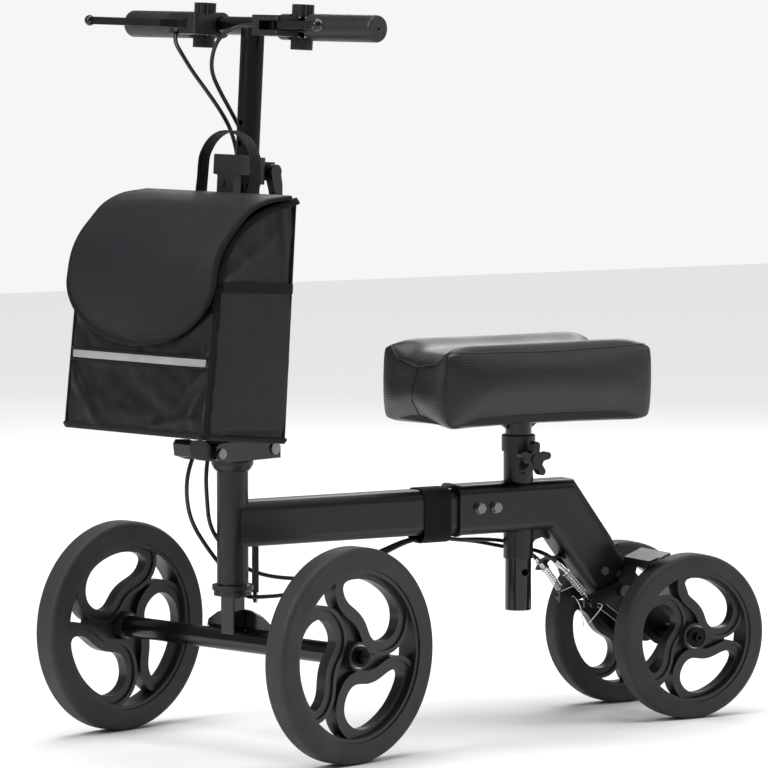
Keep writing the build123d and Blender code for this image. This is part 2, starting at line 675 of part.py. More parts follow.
def brake_lever(side):
    outline = [(66, -42), (72, -29), (84, -30), (100, -47), (186, -80.5), (184, -87.5), (98, -58), (80, -45)]
    lever = plate_xy(outline, BAR_Z - 4.5, BAR_Z + 4.5)
    lever = fillet(lever.edges().filter_by(Axis.Z), 2.0)
    lever += Pos(190, -85.5, BAR_Z) * Sphere(6.5)
    lever -= Pos(LEVER_X, LEVER_Y, BAR_Z) * Cylinder(3.0 + RUN, 40)
    return lever if side > 0 else mirrored_x(lever)


def bar_knob(side):
    """Fluted knob and foot on one through bolt."""
    profile = Circle(13.0)
    for i in range(10):
        profile -= Rot(0, 0, 36 * i) * Pos(14.2, 0) * Circle(2.4)
    cap = extrude(profile, 14.5)
    top = Pos(0, 0, BAR_Z + 12.0) * cap
    foot = Pos(0, 0, BAR_Z - 26.5) * cap
    shape = top + foot + Pos(0, 0, BAR_Z) * Cylinder(3.0, 30)
    return Pos(side * KNOB_X, 0, 0) * shape


# ---- cables -------------------------------------------------------------------------------------
# Cable A works the right brake and cable B the left. Each is one route over four bodies, and it is
# cut where it passes from one body to the next, half-way along a run.
def mast_points(*points):
    return [mast_point(*p) for p in points]


def fork_points(*points):
    return [fork_point(*p) for p in points]


boss_run = BOSS_END + (BOSS_END - BOSS_START).normalized() * 12
ROUTE_A = {
    "bar_cables": mast_points(
        tuple(BOSS_END), tuple(boss_run), (-62, -55, 818), (-51, -46, 797), (-42, -32, 777),
        (-35, -14, 754), (-31, 2, 731)
    ),
    "mast_cables": mast_points(
        (-28, 12, 700), (-27, 17, 660), (-27, 15, 600), (-26, 17, 540), (-26.5, 16, 480),
        (-26, 11, 435), (-25, -3, 400)
    ),
    "fork_cables": fork_points((-27, -18, 376), (-31, -32, 352), (-34, -42, 324), (-35, -42, 294)),
    "frame_cables": [
        fork_point(-34, -34, 266), (-27.5, -20, 236), (-29, 2, 210), (-24, 20, 188),
        (-9, 21, 175.5), (7, 39.2, 177),
        (8, 62, 177), (5, 100, 181), (4, 150, 196), (3, 203, 218), (3, 246, 233.9),
        (3, 284, 233.9), (3, 306, 228.8),
        (-6, 342, 227), (-22, 384, 222), (-27, 408, 215.5), on_adjuster(-1, ADJUSTER_TIP + 12),
        on_adjuster(-1, ADJUSTER_TIP),
    ],
}
ROUTE_B = {
    "bar_cables": mast_points(
        (45.9, -40, 854), (30, -40, 854), (12, -46, 850), (-6, -50, 838), (-20, -46, 818),
        (-30, -36, 797), (-31, -19, 775),
        (-28, -2, 752), (-24, 12, 730),
    ),
    "mast_cables": mast_points(
        (-22, 22, 702), (-21, 24, 660), (-20, 23, 600), (-20, 25, 540), (-20.5, 24, 480),
        (-21, 18, 435), (-24, 6, 400)
    ),
    "fork_cables": fork_points((-25, -2, 376), (-28, -12, 352), (-29, -16, 322), (-28, -15, 292)),
    "frame_cables": [
        fork_point(-27, -12, 262), (-25, -2, 238), (-20, 16, 216), (-8, 38, 203), (-4, 70, 196),
        (-4, 112, 193), (-4, 158, 204),
        (-4, 203, 220), (-4, 246, 233.9), (-4, 284, 233.9), (-4, 306, 228.8), (-14, 342, 224),
        (-26, 378, 216),
        (-25, 400, 211), (-14, 416, 210), (2, 421.5, 209.3), on_adjuster(1, ADJUSTER_TIP + 10),
        on_adjuster(1, ADJUSTER_TIP),
    ],
}


def halfway(a, b):
    return tuple((p + q) / 2 for p, q in zip(a, b))


def cable_node(name):
    """The stretch of both cables that one body carries."""
    tubes = []
    for route in (ROUTE_A, ROUTE_B):
        order = list(route)
        spot = order.index(name)
        points = list(route[name])
        if spot > 0:
            points.insert(0, halfway(route[order[spot - 1]][-1], points[0]))
        if spot < len(order) - 1:
            points.append(halfway(points[-1], route[order[spot + 1]][0]))
        tubes.append(cable(points))
    return as_group(tubes)


def cable(points):
    """Plain tube along straight runs joined by tangent arcs, as large as each pair of runs allows."""
    stops = [Vector(*p) for p in points]
    radii = []
    for before, here, after in zip(stops, stops[1:], stops[2:]):
        turn = radians((here - before).get_angle(after - here))
        run = min((here - before).length, (after - here).length)
        radii.append(0.45 * run / tan(turn / 2))
    print("cable arcs", [round(r) for r in radii])
    path = FilletPolyline(*stops, radius=radii)
    section = Plane(origin=path @ 0, z_dir=path % 0) * Circle(CABLE_R)
    shape = sweep(section, path)
    expected = pi * CABLE_R**2 * path.length
    print("cable length", round(path.length), "volume share", round(shape.volume / expected, 3))
    return shape


# ---- seat ---------------------------------------------------------------------------------------
def seat_post():
    post = tube(SEAT_R, 14.0, SEAT_LOW + 3, SEAT_TOP) + tube(SEAT_R, 4.0, SEAT_LOW, SEAT_LOW + 3)
    for step in range(4):
        post -= rod_x(4.3, -30, 30, 0, KNOB_Z - SEAT_HOLE_STEP * step)
    post += block(-50, 50, -60, 60, SEAT_TOP, SEAT_TOP + 3)
    fin = [(15.5, SEAT_TOP), (34, SEAT_TOP), (15.5, SEAT_TOP - 13)]
    post += plate_yz(fin, -2, 2) + plate_yz([(-y, z) for y, z in fin], -2, 2)
    return Pos(0, POST_Y, 0) * post


def pad_board():
    board = block(-74, 74, PAD_FRONT + 10, PAD_REAR - 10, SEAT_TOP + 3, PAD_LOW)
    return fillet(board.edges().filter_by(Axis.Z), 12.0)


def knee_pad():
    """The cover reaches down round the board, so the board fills a recess in the pad's underside."""
    pad = block(-PAD_W / 2, PAD_W / 2, PAD_FRONT, PAD_REAR, SEAT_TOP + 3, PAD_HIGH)
    pad = fillet(pad.edges().filter_by(Axis.Z), 14.0)
    floor = PAD_HIGH - PAD_DIP
    trough = Polyline((-58, PAD_HIGH + 1), (-34, floor), (34, floor), (58, PAD_HIGH + 1), close=True)
    pad -= Pos(0, 600, 0) * extrude(Plane.XZ * make_face(trough), 400)
    return pad - pad_board()


def star_knob():
    profile = Circle(11.0)
    for i in range(5):
        lobe = Pos(9, 0) * Rectangle(18, 9.0) + Pos(17.5, 0) * Circle(4.5)
        profile += Rot(0, 0, 72 * i + 14) * lobe
    knob = Pos(30.0, 0, 0) * extrude(Plane.YZ * profile, 11.0)
    knob += rod_x(9.0, 28.0, 30.0) + rod_x(6.0, 41.0, 43.0)
    screw = rod_x(4.0, SEAT_R + 0.4, 30.0)
    return Pos(0, POST_Y, KNOB_Z) * (knob + screw)


# ---- assembly -----------------------------------------------------------------------------------
def make_frame():
    for maker in (main_beam, rear_frame, axle_plates, rear_axle, seat_socket, socket_collar):
        parts[maker.__name__] = in_frame(maker())
    for maker in (frame_bolts, cable_strap, head_cups, head_bearings, brake_plate, cable_adjusters, brake_springs):
        parts[maker.__name__] = in_frame(maker())
    parts["frame_cables"] = in_frame(cable_node("frame_cables"))
    parts["left_brake_arm"] = in_frame(brake_arm(1))
    parts["right_brake_arm"] = in_frame(brake_arm(-1))


def make_fork():
    for maker in (fork_post, front_axle_tube, axle_gusset, gusset_bolts, front_axle):
        parts[maker.__name__] = in_fork(maker())
    for maker in (hinge_base, hinge_pins, fold_latch):
        parts[maker.__name__] = in_fork(maker())
    parts["fork_cables"] = in_frame(cable_node("fork_cables"))


def make_mast():
    parts["hinge_top"] = in_fork(hinge_top())
    for maker in (tiller_tube, height_clamp, clamp_lever, bag_bracket):
        parts[maker.__name__] = in_mast(maker())
    for maker in (bag_shell, bag_lid, mesh_pockets, bag_handle):
        parts[maker.__name__] = in_mast(maker())
    parts["mast_cables"] = in_frame(cable_node("mast_cables"))


def make_bars():
    for maker in (stem_tube, handlebar, grips, lever_housings):
        parts[maker.__name__] = in_mast(maker())
    for name, side in (("left", 1), ("right", -1)):
        parts[name + "_brake_lever"] = in_mast(brake_lever(side))
        parts[name + "_bar_knob"] = in_mast(bar_knob(side))
    parts["bar_cables"] = in_frame(cable_node("bar_cables"))


def make_seat():
    for maker in (seat_post, pad_board, knee_pad, star_knob):
        parts[maker.__name__] = in_frame(maker())


make_wheels()
make_frame()
make_fork()
make_mast()
make_bars()
make_seat()

os.makedirs("parts", exist_ok=True)
for name, shape in parts.items():
    export_step(shape, f"parts/{name}.step")

whole = Compound(children=[s for shape in parts.values() for s in shape.solids()]).bounding_box()
print("nodes", len(parts), "box", whole.min, whole.max)
print("box centre", (whole.min.X + whole.max.X) / 2, (whole.min.Y + whole.max.Y) / 2)
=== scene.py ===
# %% [markdown]
# # A knee scooter
# The metal, the moulded parts and the wheels come from the CAD model, and every one of them gets a finish
# here. The soft goods are made again as what they are: a sewn bag with bound edges and a lid, a webbing
# handle, an upholstered knee pad, brake cables and coil springs. The CAD model is loaded first, because
# every place and size is read from it.

# %% Load the CAD model
import json
import math
import bmesh
import bpy
from mathutils import Matrix, Vector, noise
from mathutils.bvhtree import BVHTree


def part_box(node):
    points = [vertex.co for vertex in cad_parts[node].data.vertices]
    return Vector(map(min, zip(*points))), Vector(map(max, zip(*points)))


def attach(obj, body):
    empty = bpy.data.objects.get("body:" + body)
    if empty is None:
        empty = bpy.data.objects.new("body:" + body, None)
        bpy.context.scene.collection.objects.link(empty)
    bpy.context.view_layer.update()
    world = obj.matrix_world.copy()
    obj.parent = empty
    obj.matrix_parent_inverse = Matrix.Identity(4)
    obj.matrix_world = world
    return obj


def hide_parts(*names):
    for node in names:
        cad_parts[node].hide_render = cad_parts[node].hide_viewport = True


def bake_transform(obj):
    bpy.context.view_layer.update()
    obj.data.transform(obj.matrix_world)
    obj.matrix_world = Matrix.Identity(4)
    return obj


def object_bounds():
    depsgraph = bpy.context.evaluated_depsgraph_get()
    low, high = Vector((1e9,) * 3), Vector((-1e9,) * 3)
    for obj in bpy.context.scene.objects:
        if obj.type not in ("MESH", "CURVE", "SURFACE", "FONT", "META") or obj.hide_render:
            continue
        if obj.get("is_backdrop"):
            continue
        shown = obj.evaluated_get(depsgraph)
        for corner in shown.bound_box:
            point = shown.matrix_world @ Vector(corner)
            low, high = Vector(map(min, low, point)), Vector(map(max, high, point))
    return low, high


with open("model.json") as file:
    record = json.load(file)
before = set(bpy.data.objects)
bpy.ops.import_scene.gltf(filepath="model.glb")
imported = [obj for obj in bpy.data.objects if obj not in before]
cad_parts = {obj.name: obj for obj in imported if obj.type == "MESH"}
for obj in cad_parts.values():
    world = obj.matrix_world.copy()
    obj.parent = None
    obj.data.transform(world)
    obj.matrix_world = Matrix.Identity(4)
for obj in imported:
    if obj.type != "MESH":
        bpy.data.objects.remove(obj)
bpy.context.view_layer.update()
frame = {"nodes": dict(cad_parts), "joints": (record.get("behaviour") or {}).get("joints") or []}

MM = 0.001

# %% [markdown]
# ## Three frames
# The front of the scooter is turned about the steering axis, and the column leans back. A point of the bag
# or the bar is easiest to give in the column's own straight frame, so each frame is one matrix, and the
# angles are read from the axes of the joints.

# %% Matrices of the frames
joints = {j["name"]: j for j in frame["joints"]}
steer_spot = Vector(joints["steering"]["pos_m"])
fold_axis = Vector(joints["mast_fold"]["axis"])
column_axis = Vector(joints["stem_height"]["axis"])
steer_angle = math.atan2(fold_axis.y, fold_axis.x)
lean_angle = math.acos(column_axis.z)
LEAN_SPOT = Vector((0, 2.5, 340)) * MM      # the point of the column's axis that the lean turns about

in_frame = Matrix.Translation((steer_spot.x, steer_spot.y, 0))
in_fork = in_frame @ Matrix.Rotation(steer_angle, 4, "Z")
lean = Matrix.Rotation(-lean_angle, 4, "X")
in_mast = in_fork @ Matrix.Translation(LEAN_SPOT) @ lean @ Matrix.Translation((0, 0, -LEAN_SPOT.z))


def places(matrix, points):
    """Points given in millimetres of a frame, as points of the scene in metres."""
    return [matrix @ (Vector(p) * MM) for p in points]


print("steering", round(math.degrees(steer_angle), 2), "lean", round(math.degrees(lean_angle), 2))

# %% [markdown]
# ## Camera
# A long lens from six metres keeps the perspective as flat as in a catalogue picture. Azimuth 0 looks along
# +Y and turns towards -X, so the camera stands in front of the scooter on its left side.

# %% Camera
AZIMUTH, ELEVATION, DISTANCE, LENS = 59.78, 4.99, 6.0, 255.14
LOOK_AT = Vector((459, -60, 469)) * MM       # from the steering axis on the floor


def from_direction(azimuth, elevation):
    a, e = math.radians(azimuth), math.radians(elevation)
    return Vector((math.sin(a) * math.cos(e), -math.cos(a) * math.cos(e), math.sin(e)))


camera = bpy.data.objects.new("camera", bpy.data.cameras.new("camera"))
bpy.context.scene.collection.objects.link(camera)
back = from_direction(AZIMUTH, ELEVATION)
camera.location = in_frame @ LOOK_AT + back * DISTANCE
camera.rotation_mode = "QUATERNION"
camera.rotation_quaternion = (-back).to_track_quat("-Z", "Y")
camera.data.lens = LENS
camera.data.sensor_width = 36
bpy.context.scene.camera = camera
print("camera at", [round(v, 3) for v in camera.location])

# %% [markdown]
# ## Light
# Black goods on a white floor read by their reflections: large soft panels give long quiet highlights on the
# tubes. A panel stands on the camera's left, two weaker ones behind, and a broad light is overhead. The
# backdrop is near white to the camera, and lights the scene much less, so that the black stays black.

# %% Floor, world and lights
LIGHT_STRENGTH, SEEN_STRENGTH = 0.2, 0.92    # of the backdrop
LIGHT_AIM = Vector((0, 0, 0.45))             # where the panels point, in metres


def srgb(hex_colour):
    """Colour of the screen, as light: a hex string to linear red, green and blue."""
    channels = [int(hex_colour[i : i + 2], 16) / 255 for i in (1, 3, 5)]
    return tuple(c / 12.92 if c <= 0.04045 else ((c + 0.055) / 1.055) ** 2.4 for c in channels) + (1.0,)


def add(tree, kind, inputs=(), **settings):
    """Adds one node. An input is given as a value or as the socket that feeds it."""
    made = tree.nodes.new(kind)
    for key, value in settings.items():
        setattr(made, key, value)
    for key, value in dict(inputs).items():
        if isinstance(value, bpy.types.NodeSocket):
            tree.links.new(value, made.inputs[key])
        else:
            made.inputs[key].default_value = value
    return made


def finish(name, colour, roughness, metallic=0.0, **sockets):
    """A material with one principled shader. Constants go on the shader's own sockets."""
    material = bpy.data.materials.new(name)
    material.use_nodes = True
    tree = material.node_tree
    shader = tree.nodes["Principled BSDF"]
    shader.inputs["Base Color"].default_value = srgb(colour)
    shader.inputs["Roughness"].default_value = roughness
    shader.inputs["Metallic"].default_value = metallic
    for key, value in sockets.items():
        shader.inputs[key.replace("_", " ")].default_value = value
    return material, tree, shader


def area_light(name, azimuth, elevation, distance, size, watts):
    lamp = bpy.data.lights.new(name, "AREA")
    lamp.shape = "RECTANGLE"
    lamp.size, lamp.size_y = size
    lamp.energy = watts
    panel = bpy.data.objects.new(name, lamp)
    way = from_direction(azimuth, elevation)
    panel.location = LIGHT_AIM + way * distance
    panel.rotation_euler = way.to_track_quat("Z", "Y").to_euler()
    bpy.context.scene.collection.objects.link(panel)


area_light("key_panel", 5, 34, 3.2, (1.2, 2.0), 52)
area_light("fill_panel", 152, 28, 3.6, (0.8, 2.4), 24)
area_light("rim_panel", 225, 30, 3.6, (2.4, 1.6), 45)
overhead = bpy.data.objects.new("overhead_light", bpy.data.lights.new("overhead_light", "SUN"))
overhead.data.energy, overhead.data.angle = 2.0, math.radians(50)
bpy.context.scene.collection.objects.link(overhead)

world = bpy.data.worlds.new("studio")
bpy.context.scene.world = world
world.use_nodes = True
backdrop = world.node_tree.nodes["Background"]
backdrop.inputs["Color"].default_value = (1.0, 1.0, 1.0, 1.0)
seen = add(world.node_tree, "ShaderNodeLightPath")
to_camera = seen.outputs["Is Camera Ray"]
strengths = {"Value": to_camera, "To Min": LIGHT_STRENGTH, "To Max": SEEN_STRENGTH}
level = add(world.node_tree, "ShaderNodeMapRange", strengths)
world.node_tree.links.new(level.outputs["Result"], backdrop.inputs["Strength"])
bpy.context.scene.view_settings.view_transform = "Standard"

floor_paint, _, _ = finish("matt_white_floor_paint", "#F9F9F9", 0.9)
bpy.ops.mesh.primitive_plane_add(size=14, location=(0, 0, 0))
floor = bpy.context.object
floor.name = "floor"
floor.data.materials.append(floor_paint)
floor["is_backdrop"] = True

# %% [markdown]
# ## Powder-coated steel
# The beam and the rear leg are steel, dusted with epoxy powder and baked. The coat is an insulator over the
# metal, so it isn't metallic. It melts into a skin with a faint orange peel about 1.5 mm across. The tubes of
# the column are the same paint in gloss, as a smoother coat.

# %% Powder coats
def mottled(tree, shader, colour, scale_mm, share=0.12):
    """Small changes of lightness over the surface, as a hand-finished thing has."""
    where = add(tree, "ShaderNodeTexCoord")
    spots = {"Vector": where.outputs["Object"], "Scale": 1 / (scale_mm * MM), "Detail": 3.0}
    cloud = add(tree, "ShaderNodeTexNoise", spots)
    base = srgb(colour)
    low = tuple(c * (1 - share) for c in base[:3]) + (1.0,)
    high = tuple(min(1.0, c * (1 + share)) for c in base[:3]) + (1.0,)
    ramp = add(tree, "ShaderNodeValToRGB", {"Fac": cloud.outputs["Fac"]})
    ramp.color_ramp.elements[0].position, ramp.color_ramp.elements[1].position = 0.3, 0.7
    ramp.color_ramp.elements[0].color, ramp.color_ramp.elements[1].color = low, high
    tree.links.new(ramp.outputs["Color"], shader.inputs["Base Color"])
    return where


def grain(tree, shader, where, scale_mm, height_mm):
    """A fine random bump."""
    spots = {"Vector": where.outputs["Object"], "Scale": 1 / (scale_mm * MM), "Detail": 2.0}
    dots = add(tree, "ShaderNodeTexNoise", spots)
    relief = {"Height": dots.outputs["Fac"], "Distance": height_mm * MM, "Strength": 1.0}
    bump = add(tree, "ShaderNodeBump", relief)
    tree.links.new(bump.outputs["Normal"], shader.inputs["Normal"])


def worn_gloss(tree, shader, where, low, high, scale_mm):
    """Roughness that drifts between two values, as from handling."""
    spots = {"Vector": where.outputs["Object"], "Scale": 1 / (scale_mm * MM), "Detail": 4.0}
    cloud = add(tree, "ShaderNodeTexNoise", spots)
    limits = {"From Min": 0.3, "From Max": 0.7, "To Min": low, "To Max": high}
    span = add(tree, "ShaderNodeMapRange", {"Value": cloud.outputs["Fac"], **limits})
    tree.links.new(span.outputs["Result"], shader.inputs["Roughness"])


def powder_coat(name, colour, roughness, peel_mm, height_mm):
    skin = {"IOR": 1.5, "Coat_Weight": 0.05, "Coat_Roughness": roughness * 0.6}
    material, tree, shader = finish(name, colour, roughness, **skin)
    where = mottled(tree, shader, colour, 60)
    grain(tree, shader, where, peel_mm, height_mm)
    worn_gloss(tree, shader, where, roughness * 0.85, roughness * 1.2, 90)
    return material


satin_powder_coat = powder_coat("satin_black_powder_coat", "#0B0B0C", 0.34, 1.5, 0.03)
gloss_powder_coat = powder_coat("gloss_black_powder_coat", "#0A0A0C", 0.17, 2.2, 0.02)
print(satin_powder_coat.name, gloss_powder_coat.name)

# %% [markdown]
# ## Plated and bare steel
# Bolts and nuts are zinc plated: a pale, slightly blue metal with soft reflections. The springs are drawn
# wire, polished by the die. Metals keep the default IOR, and their colour is in the reflection.

# %% Metals
def plated(name, colour, roughness, grain_mm):
    material, tree, shader = finish(name, colour, roughness, metallic=1.0)
    where = mottled(tree, shader, colour, 14, 0.16)
    grain(tree, shader, where, grain_mm, 0.02)
    worn_gloss(tree, shader, where, roughness * 0.75, roughness * 1.3, 12)
    return material


bright_zinc = plated("bright_zinc_plate", "#CDD0D4", 0.26, 0.8)
dull_zinc = plated("dull_zinc_plate", "#8A8D92", 0.42, 1.2)
spring_wire = plated("drawn_spring_wire", "#DDDEE0", 0.18, 0.6)
ground_steel = plated("ground_bearing_steel", "#B4B6BA", 0.3, 0.4)
black_oxide = plated("black_oxide_steel", "#232326", 0.36, 0.7)
print("metals ready")

# %% [markdown]
# ## Moulded nylon, rubber and tyre
# The clamps, knobs and wheel centres are injection-moulded glass-filled nylon: a satin skin with a fine spark
# texture from the mould. The tyres are solid and matt, the grips a softer rubber with a slight sheen.

# %% Plastics and rubbers
def moulded(name, colour, roughness, texture_mm, height_mm, **sockets):
    material, tree, shader = finish(name, colour, roughness, IOR=1.53, **sockets)
    where = mottled(tree, shader, colour, 35, 0.10)
    grain(tree, shader, where, texture_mm, height_mm)
    worn_gloss(tree, shader, where, roughness * 0.88, roughness * 1.15, 45)
    return material


moulded_nylon = moulded("moulded_black_nylon", "#111113", 0.42, 0.9, 0.05)
wheel_nylon = moulded("moulded_wheel_nylon", "#1A1B1D", 0.36, 0.9, 0.04)
tyre_rubber = moulded("solid_tyre_polyurethane", "#252628", 0.62, 1.4, 0.06)
grip_rubber = moulded("soft_grip_rubber", "#15171A", 0.45, 7.0, 0.5)
cable_sleeve = moulded("pvc_cable_sleeve", "#101011", 0.3, 3.0, 0.02)
painted_ply = moulded("black_painted_plywood", "#0E0E0E", 0.6, 2.5, 0.12)
print("plastics ready")

# %% [markdown]
# ## Finishes for the CAD pieces
# The CAD shapes are right as they are, so each one only takes a material. A table from finish to pieces is
# easy to read and to check.

# %% Assign materials to CAD pieces
WHEELS = ("front_left", "front_right", "rear_left", "rear_right")
finishes = {
    satin_powder_coat: [
        "main_beam", "rear_frame", "axle_plates", "seat_socket", "left_brake_arm", "right_brake_arm",
        "head_cups", "brake_plate",
    ],
    gloss_powder_coat: [
        "fork_post", "front_axle_tube", "axle_gusset", "hinge_base", "hinge_top", "tiller_tube", "stem_tube",
        "handlebar", "seat_post", "left_brake_lever", "right_brake_lever",
    ],
    bright_zinc: ["cable_adjusters"],
    dull_zinc: ["frame_bolts", "hinge_pins", "gusset_bolts"],
    ground_steel: ["head_bearings"] + [w + "_bearings" for w in WHEELS],
    black_oxide: ["front_axle", "rear_axle"],
    moulded_nylon: [
        "socket_collar", "fold_latch", "height_clamp", "clamp_lever", "bag_bracket", "lever_housings",
        "left_bar_knob", "right_bar_knob", "star_knob",
    ],
    wheel_nylon: [w + "_rim" for w in WHEELS],
    tyre_rubber: [w + "_tyre" for w in WHEELS],
    grip_rubber: ["grips"],
    painted_ply: ["pad_board"],
}
for material, names in finishes.items():
    for name in names:
        data = frame["nodes"][name].data
        data.materials.clear()
        data.materials.append(material)
print("finished", sum(len(names) for names in finishes.values()), "CAD pieces")

# %% [markdown]
# ## Cloth finishes
# The bag is sewn from nylon, woven from threads about 0.4 mm apart, which would vanish at this distance, so
# the weave is drawn at 0.9 mm. The front panel is coated and shinier. Its edges are bound with ribbed tape.

# %% Nylon, tape, mesh and webbing
def ripples(tree, socket, pitch_mm):
    """A sine wave from 0 to 1 along one coordinate in metres, one wave for each pitch."""
    turns = add(tree, "ShaderNodeMath", {0: socket, 1: 2 * math.pi / (pitch_mm * MM)}, operation="MULTIPLY")
    wave = add(tree, "ShaderNodeMath", {0: turns.outputs[0]}, operation="SINE")
    half = add(tree, "ShaderNodeMath", {0: wave.outputs[0], 1: 0.5, 2: 0.5}, operation="MULTIPLY_ADD")
    return half.outputs[0]


def uv_axes(tree):
    """The two coordinates along and across a strip, both in metres."""
    where = add(tree, "ShaderNodeTexCoord")
    parts = add(tree, "ShaderNodeSeparateXYZ", {"Vector": where.outputs["UV"]})
    return where, parts.outputs["X"], parts.outputs["Y"]


def woven(name, colour, roughness, thread_mm, height_mm, across_mm=None, **sockets):
    """Cloth whose threads follow the piece's own two directions."""
    material, tree, shader = finish(name, colour, roughness, Specular_IOR_Level=0.25, **sockets)
    mottled(tree, shader, colour, 25, 0.10)
    _, along, across = uv_axes(tree)
    warp, weft = ripples(tree, along, thread_mm), ripples(tree, across, across_mm or thread_mm)
    cloth = add(tree, "ShaderNodeMath", {0: warp, 1: weft}, operation="ADD")
    relief = {"Height": cloth.outputs[0], "Distance": height_mm * MM, "Strength": 0.8}
    bump = add(tree, "ShaderNodeBump", relief)
    tree.links.new(bump.outputs["Normal"], shader.inputs["Normal"])
    return material


bag_nylon = woven("woven_bag_nylon", "#15141A", 0.46, 0.9, 0.08, Sheen_Weight=0.08, Sheen_Roughness=0.4)
coated_nylon = woven("coated_bag_nylon", "#131318", 0.24, 0.9, 0.05, Sheen_Weight=0.03)
binding_tape = woven("ribbed_binding_tape", "#080807", 0.8, 1.2, 0.25, 4.5, Sheen_Weight=0.05)
webbing = woven("ribbed_webbing", "#121110", 0.72, 2.0, 0.5, 6.0, Sheen_Weight=0.1)
reflective_tape = woven("reflective_tape", "#9A9C9F", 0.38, 1.4, 0.03)
hook_and_loop = woven("hook_and_loop_tape", "#0D0D0E", 0.85, 1.0, 0.4, Sheen_Weight=0.1)


NET_PITCH = 3.4      # mm of both coordinates together, which is 2.4 mm along a diagonal


def pocket_netting():
    """Knitted net: round holes about 2.4 mm apart in staggered rows, with glossy threads between them."""
    material, tree, shader = finish("knitted_pocket_net", "#1A1B1D", 0.4, Specular_IOR_Level=0.25)
    _, along, across = uv_axes(tree)
    both = add(tree, "ShaderNodeMath", {0: along, 1: across}, operation="ADD")
    apart = add(tree, "ShaderNodeMath", {0: along, 1: across}, operation="SUBTRACT")
    rows, columns = ripples(tree, both.outputs[0], NET_PITCH), ripples(tree, apart.outputs[0], NET_PITCH)
    holes = add(tree, "ShaderNodeMath", {0: rows, 1: columns}, operation="MULTIPLY")
    ramp = add(tree, "ShaderNodeValToRGB", {"Fac": holes.outputs[0]})
    ramp.color_ramp.elements[0].position, ramp.color_ramp.elements[1].position = 0.25, 0.55
    ramp.color_ramp.elements[0].color, ramp.color_ramp.elements[1].color = srgb("#2A2B2E"), srgb("#070708")
    tree.links.new(ramp.outputs["Color"], shader.inputs["Base Color"])
    relief = {"Height": holes.outputs[0], "Distance": 0.6 * MM, "Strength": 0.9}
    bump = add(tree, "ShaderNodeBump", relief, invert=True)
    tree.links.new(bump.outputs["Normal"], shader.inputs["Normal"])
    return material


pocket_net = pocket_netting()
cable_strap = frame["nodes"]["cable_strap"].data
cable_strap.materials.clear()
cable_strap.materials.append(hook_and_loop)
print("cloth ready")

# %% [markdown]
# ## Two ways to make a mesh
# Sewn sheets are grids: rows and columns of points, with the distance along each kept as UVs in metres, so a
# weave keeps its real size. Tapes, cables and wires are one section carried along a path.

# %% Grid and strip builders
def new_piece(name, mesh, material, smooth=True):
    made = bpy.data.objects.new(name, mesh)
    bpy.context.scene.collection.objects.link(made)
    made.data.materials.append(material)
    for face in mesh.polygons:
        face.use_smooth = smooth
    return made


def grid(name, rows, material, ring=False):
    """A sheet through rows of points. ring joins each row's last point to its first."""
    count = len(rows[0])
    mesh = bpy.data.meshes.new(name)
    last = count if ring else count - 1
    faces = []
    for r in range(len(rows) - 1):
        for c in range(last):
            d = (c + 1) % count
            faces.append((r * count + c, r * count + d, (r + 1) * count + d, (r + 1) * count + c))
    mesh.from_pydata([p for row in rows for p in row], [], faces)
    along = [0.0]
    for c in range(1, count + 1):
        along.append(along[-1] + (rows[0][c % count] - rows[0][c - 1]).length)
    down = [0.0]
    for r in range(1, len(rows)):
        down.append(down[-1] + (rows[r][count // 2] - rows[r - 1][count // 2]).length)
    uv = mesh.uv_layers.new(name="cloth").data
    for f, face in enumerate(mesh.polygons):
        r, c = divmod(f, last)
        for corner, (i, j) in zip(face.loop_indices, ((r, c), (r, c + 1), (r + 1, c + 1), (r + 1, c))):
            uv[corner].uv = (along[j], down[i])
    mesh.validate()
    return new_piece(name, mesh, material)


def strip(name, path, ups, section, material, closed=False):
    """One section carried along a path. ups holds the outward direction at each point, or one for all."""
    ups = ups if isinstance(ups, list) else [ups] * len(path)
    mesh = bpy.data.meshes.new(name)
    verts, count, steps = [], len(section), len(path)
    travelled = [0.0]
    for i, here in enumerate(path):
        before = path[i - 1] if closed or i > 0 else here
        after = path[(i + 1) % steps] if closed or i < steps - 1 else here
        way = (after - before).normalized()
        side = way.cross(ups[i]).normalized()
        out = side.cross(way)
        verts += [here + side * a + out * b for a, b in section]
        travelled.append(travelled[-1] + (path[(i + 1) % steps] - here).length)
    edge = [0.0]
    for k in range(count):
        a, b = Vector(section[k]), Vector(section[(k + 1) % count])
        edge.append(edge[-1] + (b - a).length)
    faces, corners = [], []
    for i in range(steps if closed else steps - 1):
        j = (i + 1) % steps
        for k in range(count):
            m = (k + 1) % count
            faces.append((i * count + k, j * count + k, j * count + m, i * count + m))
            u, v, w, x = travelled[i], travelled[i + 1], edge[k], edge[k + 1]
            corners.append(((u, w), (v, w), (v, x), (u, x)))
    if not closed:
        faces.append(tuple(reversed(range(count))))
        faces.append(tuple(range((steps - 1) * count, steps * count)))
    mesh.from_pydata(verts, [], faces)
    uv = mesh.uv_layers.new(name="cloth").data
    for face, spots in zip(mesh.polygons, corners):
        for corner, spot in zip(face.loop_indices, spots):
            uv[corner].uv = spot
    made = new_piece(name, mesh, material)
    helper = bmesh.new()
    helper.from_mesh(mesh)
    bmesh.ops.recalc_face_normals(helper, faces=helper.faces)
    helper.to_mesh(mesh)
    helper.free()
    return made


def rounded(width_mm, height_mm, steps=12, power=0.6):
    """A flat section with soft edges, from a circle to a tape as its power goes from 1 to 0."""
    points = []
    for i in range(steps):
        a = 2 * math.pi * i / steps
        c, s = math.cos(a), math.sin(a)
        across = math.copysign(abs(c) ** power, c) * width_mm * MM / 2
        upward = math.copysign(abs(s) ** power, s) * height_mm * MM / 2
        points.append((across, upward))
    return points


